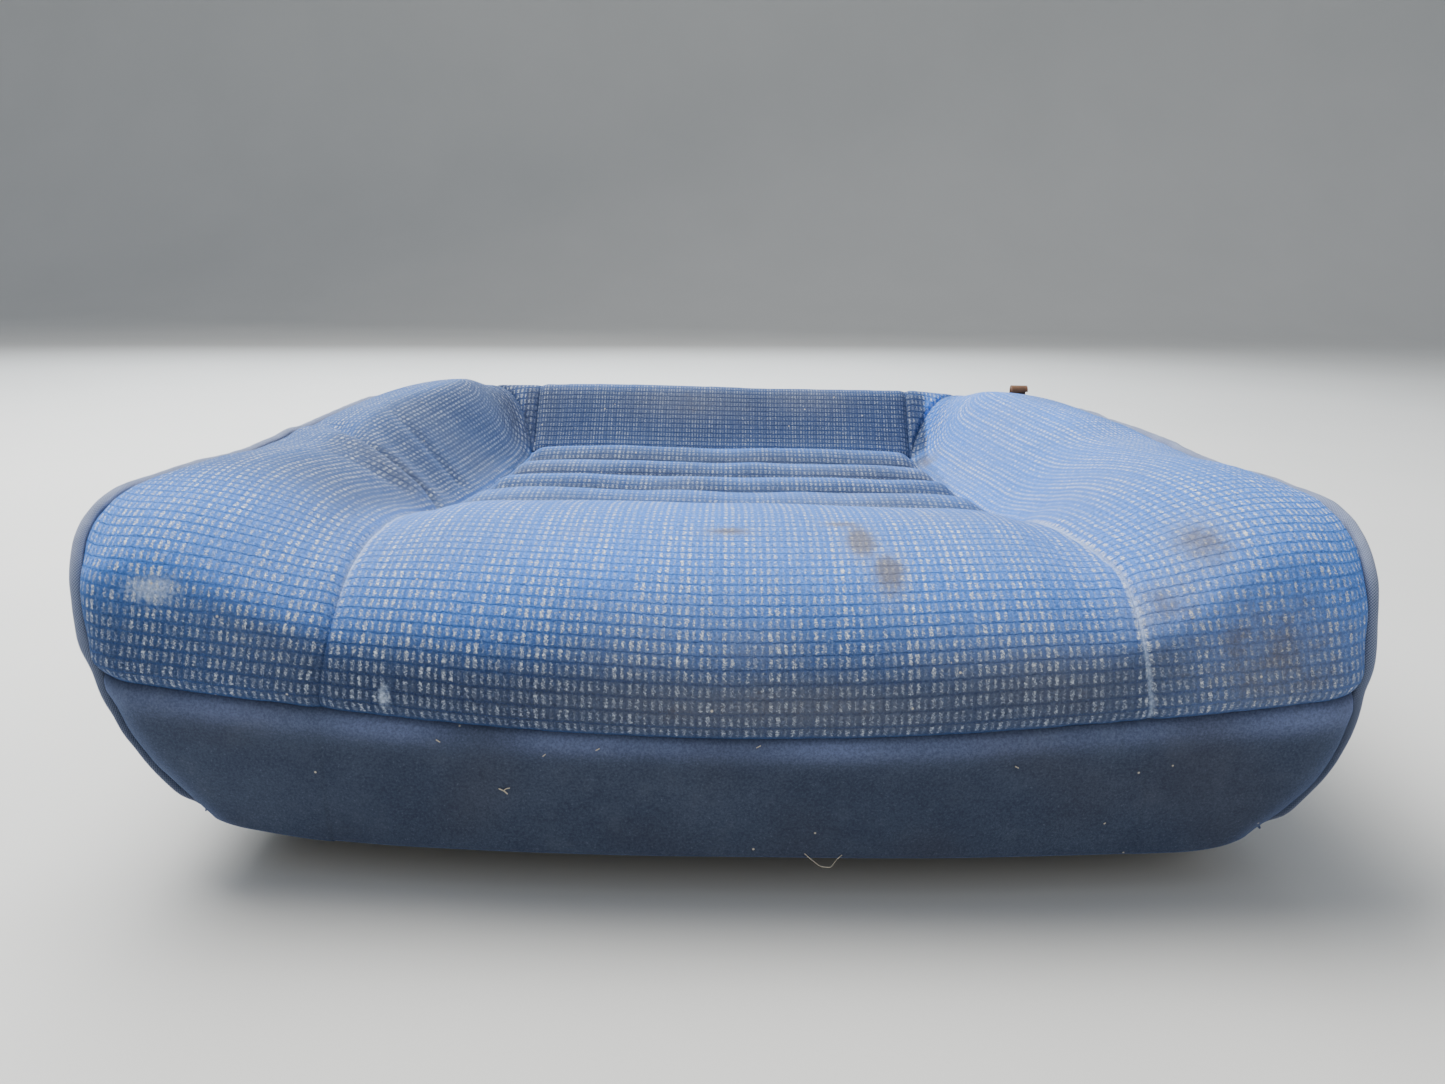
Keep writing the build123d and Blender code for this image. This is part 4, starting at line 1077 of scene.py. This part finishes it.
def make_piping(side, edge):
    """Cloth-covered welt along the edge of the top, from the front hem to the rear corner."""
    start, stop = 1, R_LIP + 2
    line = respace(edge[start:stop], 2.5)
    line = soften(line, 5.0, 2.5)
    centre = np.array([0.0, 20.0, 60.0])
    out = line - centre
    out[:, 1] *= np.where(line[:, 1] < -205, 1.0, 0.15)
    out /= np.linalg.norm(out, axis=1, keepdims=True)
    wave = np.array([noise.noise(Vector(p) / 14.0) for p in line])
    line = line + out * (2.2 + 0.3 * wave + 0.8 * ease(-line[:, 2], -70, -30))[:, None]
    radii = 2.5 + 0.25 * np.array([noise.noise(Vector(p) / 9.0 + Vector((5, 5, 5))) for p in line])
    fade = np.minimum(np.arange(len(line)), np.arange(len(line))[::-1])
    radii = radii * (0.7 + 0.3 * ease(fade, 0, 3))
    line = line - out * (1.8 * (1 - ease(fade, 0, 4)))[:, None]
    return tube(f"piping_cord_{SIDES[side]}", line, radii, 14, PAINTS["piping"])


def voxel_copy(source, name, size):
    """A closed, evenly meshed copy of a solid."""
    copy = bpy.data.objects.new(name, source.data.copy())
    bpy.context.collection.objects.link(copy)
    remesh = copy.modifiers.new("even", "REMESH")
    remesh.mode = "VOXEL"
    remesh.voxel_size = size * MM
    remesh.use_smooth_shade = True
    bpy.context.view_layer.update()
    done = bpy.data.meshes.new_from_object(copy.evaluated_get(bpy.context.evaluated_depsgraph_get()))
    copy.modifiers.clear()
    old = copy.data
    copy.data = done
    bpy.data.meshes.remove(old)
    return copy


def make_foam(source, material):
    """The moulded foam, drawn in under the cover wherever the cover dips."""
    foam_body = voxel_copy(source, "foam_body", FOAM_VOXEL)
    trees = []
    for points, quads, out in OUTSIDES:
        a, b, c, _ = (points[quads[:, k]] for k in range(4))
        facing = 1 if np.sum(np.cross(b - a, c - a) * out[quads[:, 0]]) > 0 else -1
        trees.append((BVHTree.FromPolygons((points * MM).tolist(), quads.tolist()), facing))
    depth = FOAM_DEPTH * MM
    mesh = foam_body.data
    for _ in range(FOAM_PASSES):
        for vertex in mesh.vertices:
            best = None
            for tree, facing in trees:
                near, face_normal, _, gap = tree.find_nearest(vertex.co, FOAM_SEARCH * MM)
                if near is not None and (best is None or gap < best[0]):
                    best = (gap, near, face_normal * facing)
            if best is not None:
                height = (vertex.co - best[1]).dot(best[2])
                if height > -depth:
                    vertex.co = vertex.co - best[2] * (height + depth)
    work = bmesh.new()
    work.from_mesh(mesh)
    bmesh.ops.smooth_vert(work, verts=work.verts, factor=0.4, use_axis_x=True, use_axis_y=True, use_axis_z=True)
    work.to_mesh(mesh)
    work.free()
    mesh.materials.clear()
    mesh.materials.append(material)
    return foam_body


def make_felt(box, material):
    """A laid felt mat with wavy, torn edges and a gently lumpy top."""
    (x0, y0, z0), (x1, y1, z1) = (np.array(corner) / MM for corner in box)
    u, v = np.meshgrid(np.linspace(-1, 1, 101), np.linspace(-1, 1, 107))
    ragged = lumps(np.stack([u * 150, v * 160, 0 * u], -1), 14.0, 201) * 2.2
    x = (x0 + x1) / 2 + u * ((x1 - x0) / 2 - 2.4 + ragged * (np.abs(u) > 0.9))
    y = (y0 + y1) / 2 + v * ((y1 - y0) / 2 - 2.4 + ragged * (np.abs(v) > 0.9))
    flat = np.stack([x, y, 0 * x], -1)
    z = z1 - 0.35 + 0.3 * lumps(flat, 21.0, 202) + 0.12 * lumps(flat, 6.0, 203)
    grid = np.stack([x, y, z], -1)
    uv = np.stack([x, y], -1)
    n = np.zeros_like(grid)
    n[..., 2] = 1
    return shell("felt_mat", grid, n, uv, np.zeros(grid.shape[:2] + (4,)), FELT_THICK, material)


def finish_frame():
    """Better materials for the CAD parts that stay."""
    paints = {
        "frame_steel": metal("frame_steel", rgb(22, 22, 24), rgb(40, 40, 42), 0.5, 0.25, 0.42, 0.0),
        "spring_steel": metal("spring_steel", rgb(92, 88, 84), rgb(58, 54, 52), 0.55, 0.0, 0.36, 0.9, 0.3),
        "wire_steel": metal("wire_steel", rgb(150, 146, 140), rgb(104, 100, 96), 0.4, 0.0, 0.34, 0.9, 0.3),
        "tab_steel": metal("tab_steel", rgb(126, 88, 58), rgb(66, 48, 38), 0.8, 0.0, 0.5, 0.3),
        "hem_plastic": plastic("hem_plastic", rgb(30, 30, 31), rgb(44, 44, 45), 0.45),
        "clip_nylon": plastic("clip_nylon", rgb(214, 209, 190), rgb(190, 182, 158), 0.5),
    }
    for part in frame["record"]["subparts"]:
        paint = paints.get(part["material_slot"])
        if paint:
            mesh = frame["nodes"][part["node"]].data
            mesh.materials.clear()
            mesh.materials.append(paint)


# ------------------------------------------------------------------ build
def settle(piece, nodes):
    """What every piece gets: it is put under its body, and the CAD nodes that it stands for are hidden."""
    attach(piece, "root")
    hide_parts(*nodes)


def main():
    set_camera()
    set_lights()
    PAINTS["patterned"] = velour_patterned()
    PAINTS["plain"] = velour_plain()
    # The third colour is the painted shade on the piping's lower run.
    PAINTS["piping"] = woven_cloth("piping_cloth", rgb(84, 96, 122), rgb(150, 160, 184), rgb(40, 50, 72), 0.0011, 0.6)
    made, edges, shaped, lower, upper = make_cover()
    pieces = [
        (made["thigh_cover"], "velour_patterned", ["thigh_panel"]),
        (made["insert_cover"], "velour_patterned", ["fluted_insert", "insert_wadding", "listing_sleeves"]),
        (made["riser_cover"], "velour_patterned", ["rear_riser"]),
        (add_lint(make_valance(shaped, lower)), "velour_plain", ["front_valance"]),
        (make_rear(shaped, upper), "velour_plain", ["rear_skirt"]),
    ]
    for side, word in SIDES.items():
        pieces += [
            (made[f"bolster_{word}"], "velour_patterned", [f"bolster_{word}"]),
            (made[f"gusset_{word}"], "velour_patterned", [f"riser_gusset_{word}"]),
            (make_side(side, edges[side]), "velour_plain", [f"side_skirt_{word}"]),
            (make_piping(side, edges[side]), "piping_cloth", [f"piping_{word}"]),
        ]
    for piece, slot, nodes in pieces:
        settle(piece, nodes)

    foam_body = make_foam(frame["nodes"]["foam_pad"], foam())
    settle(foam_body, ["foam_pad"])
    felt_mat = make_felt(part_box("felt_pad"), felt())
    settle(felt_mat, ["felt_pad"])
    finish_frame()
    make_floor()


main()
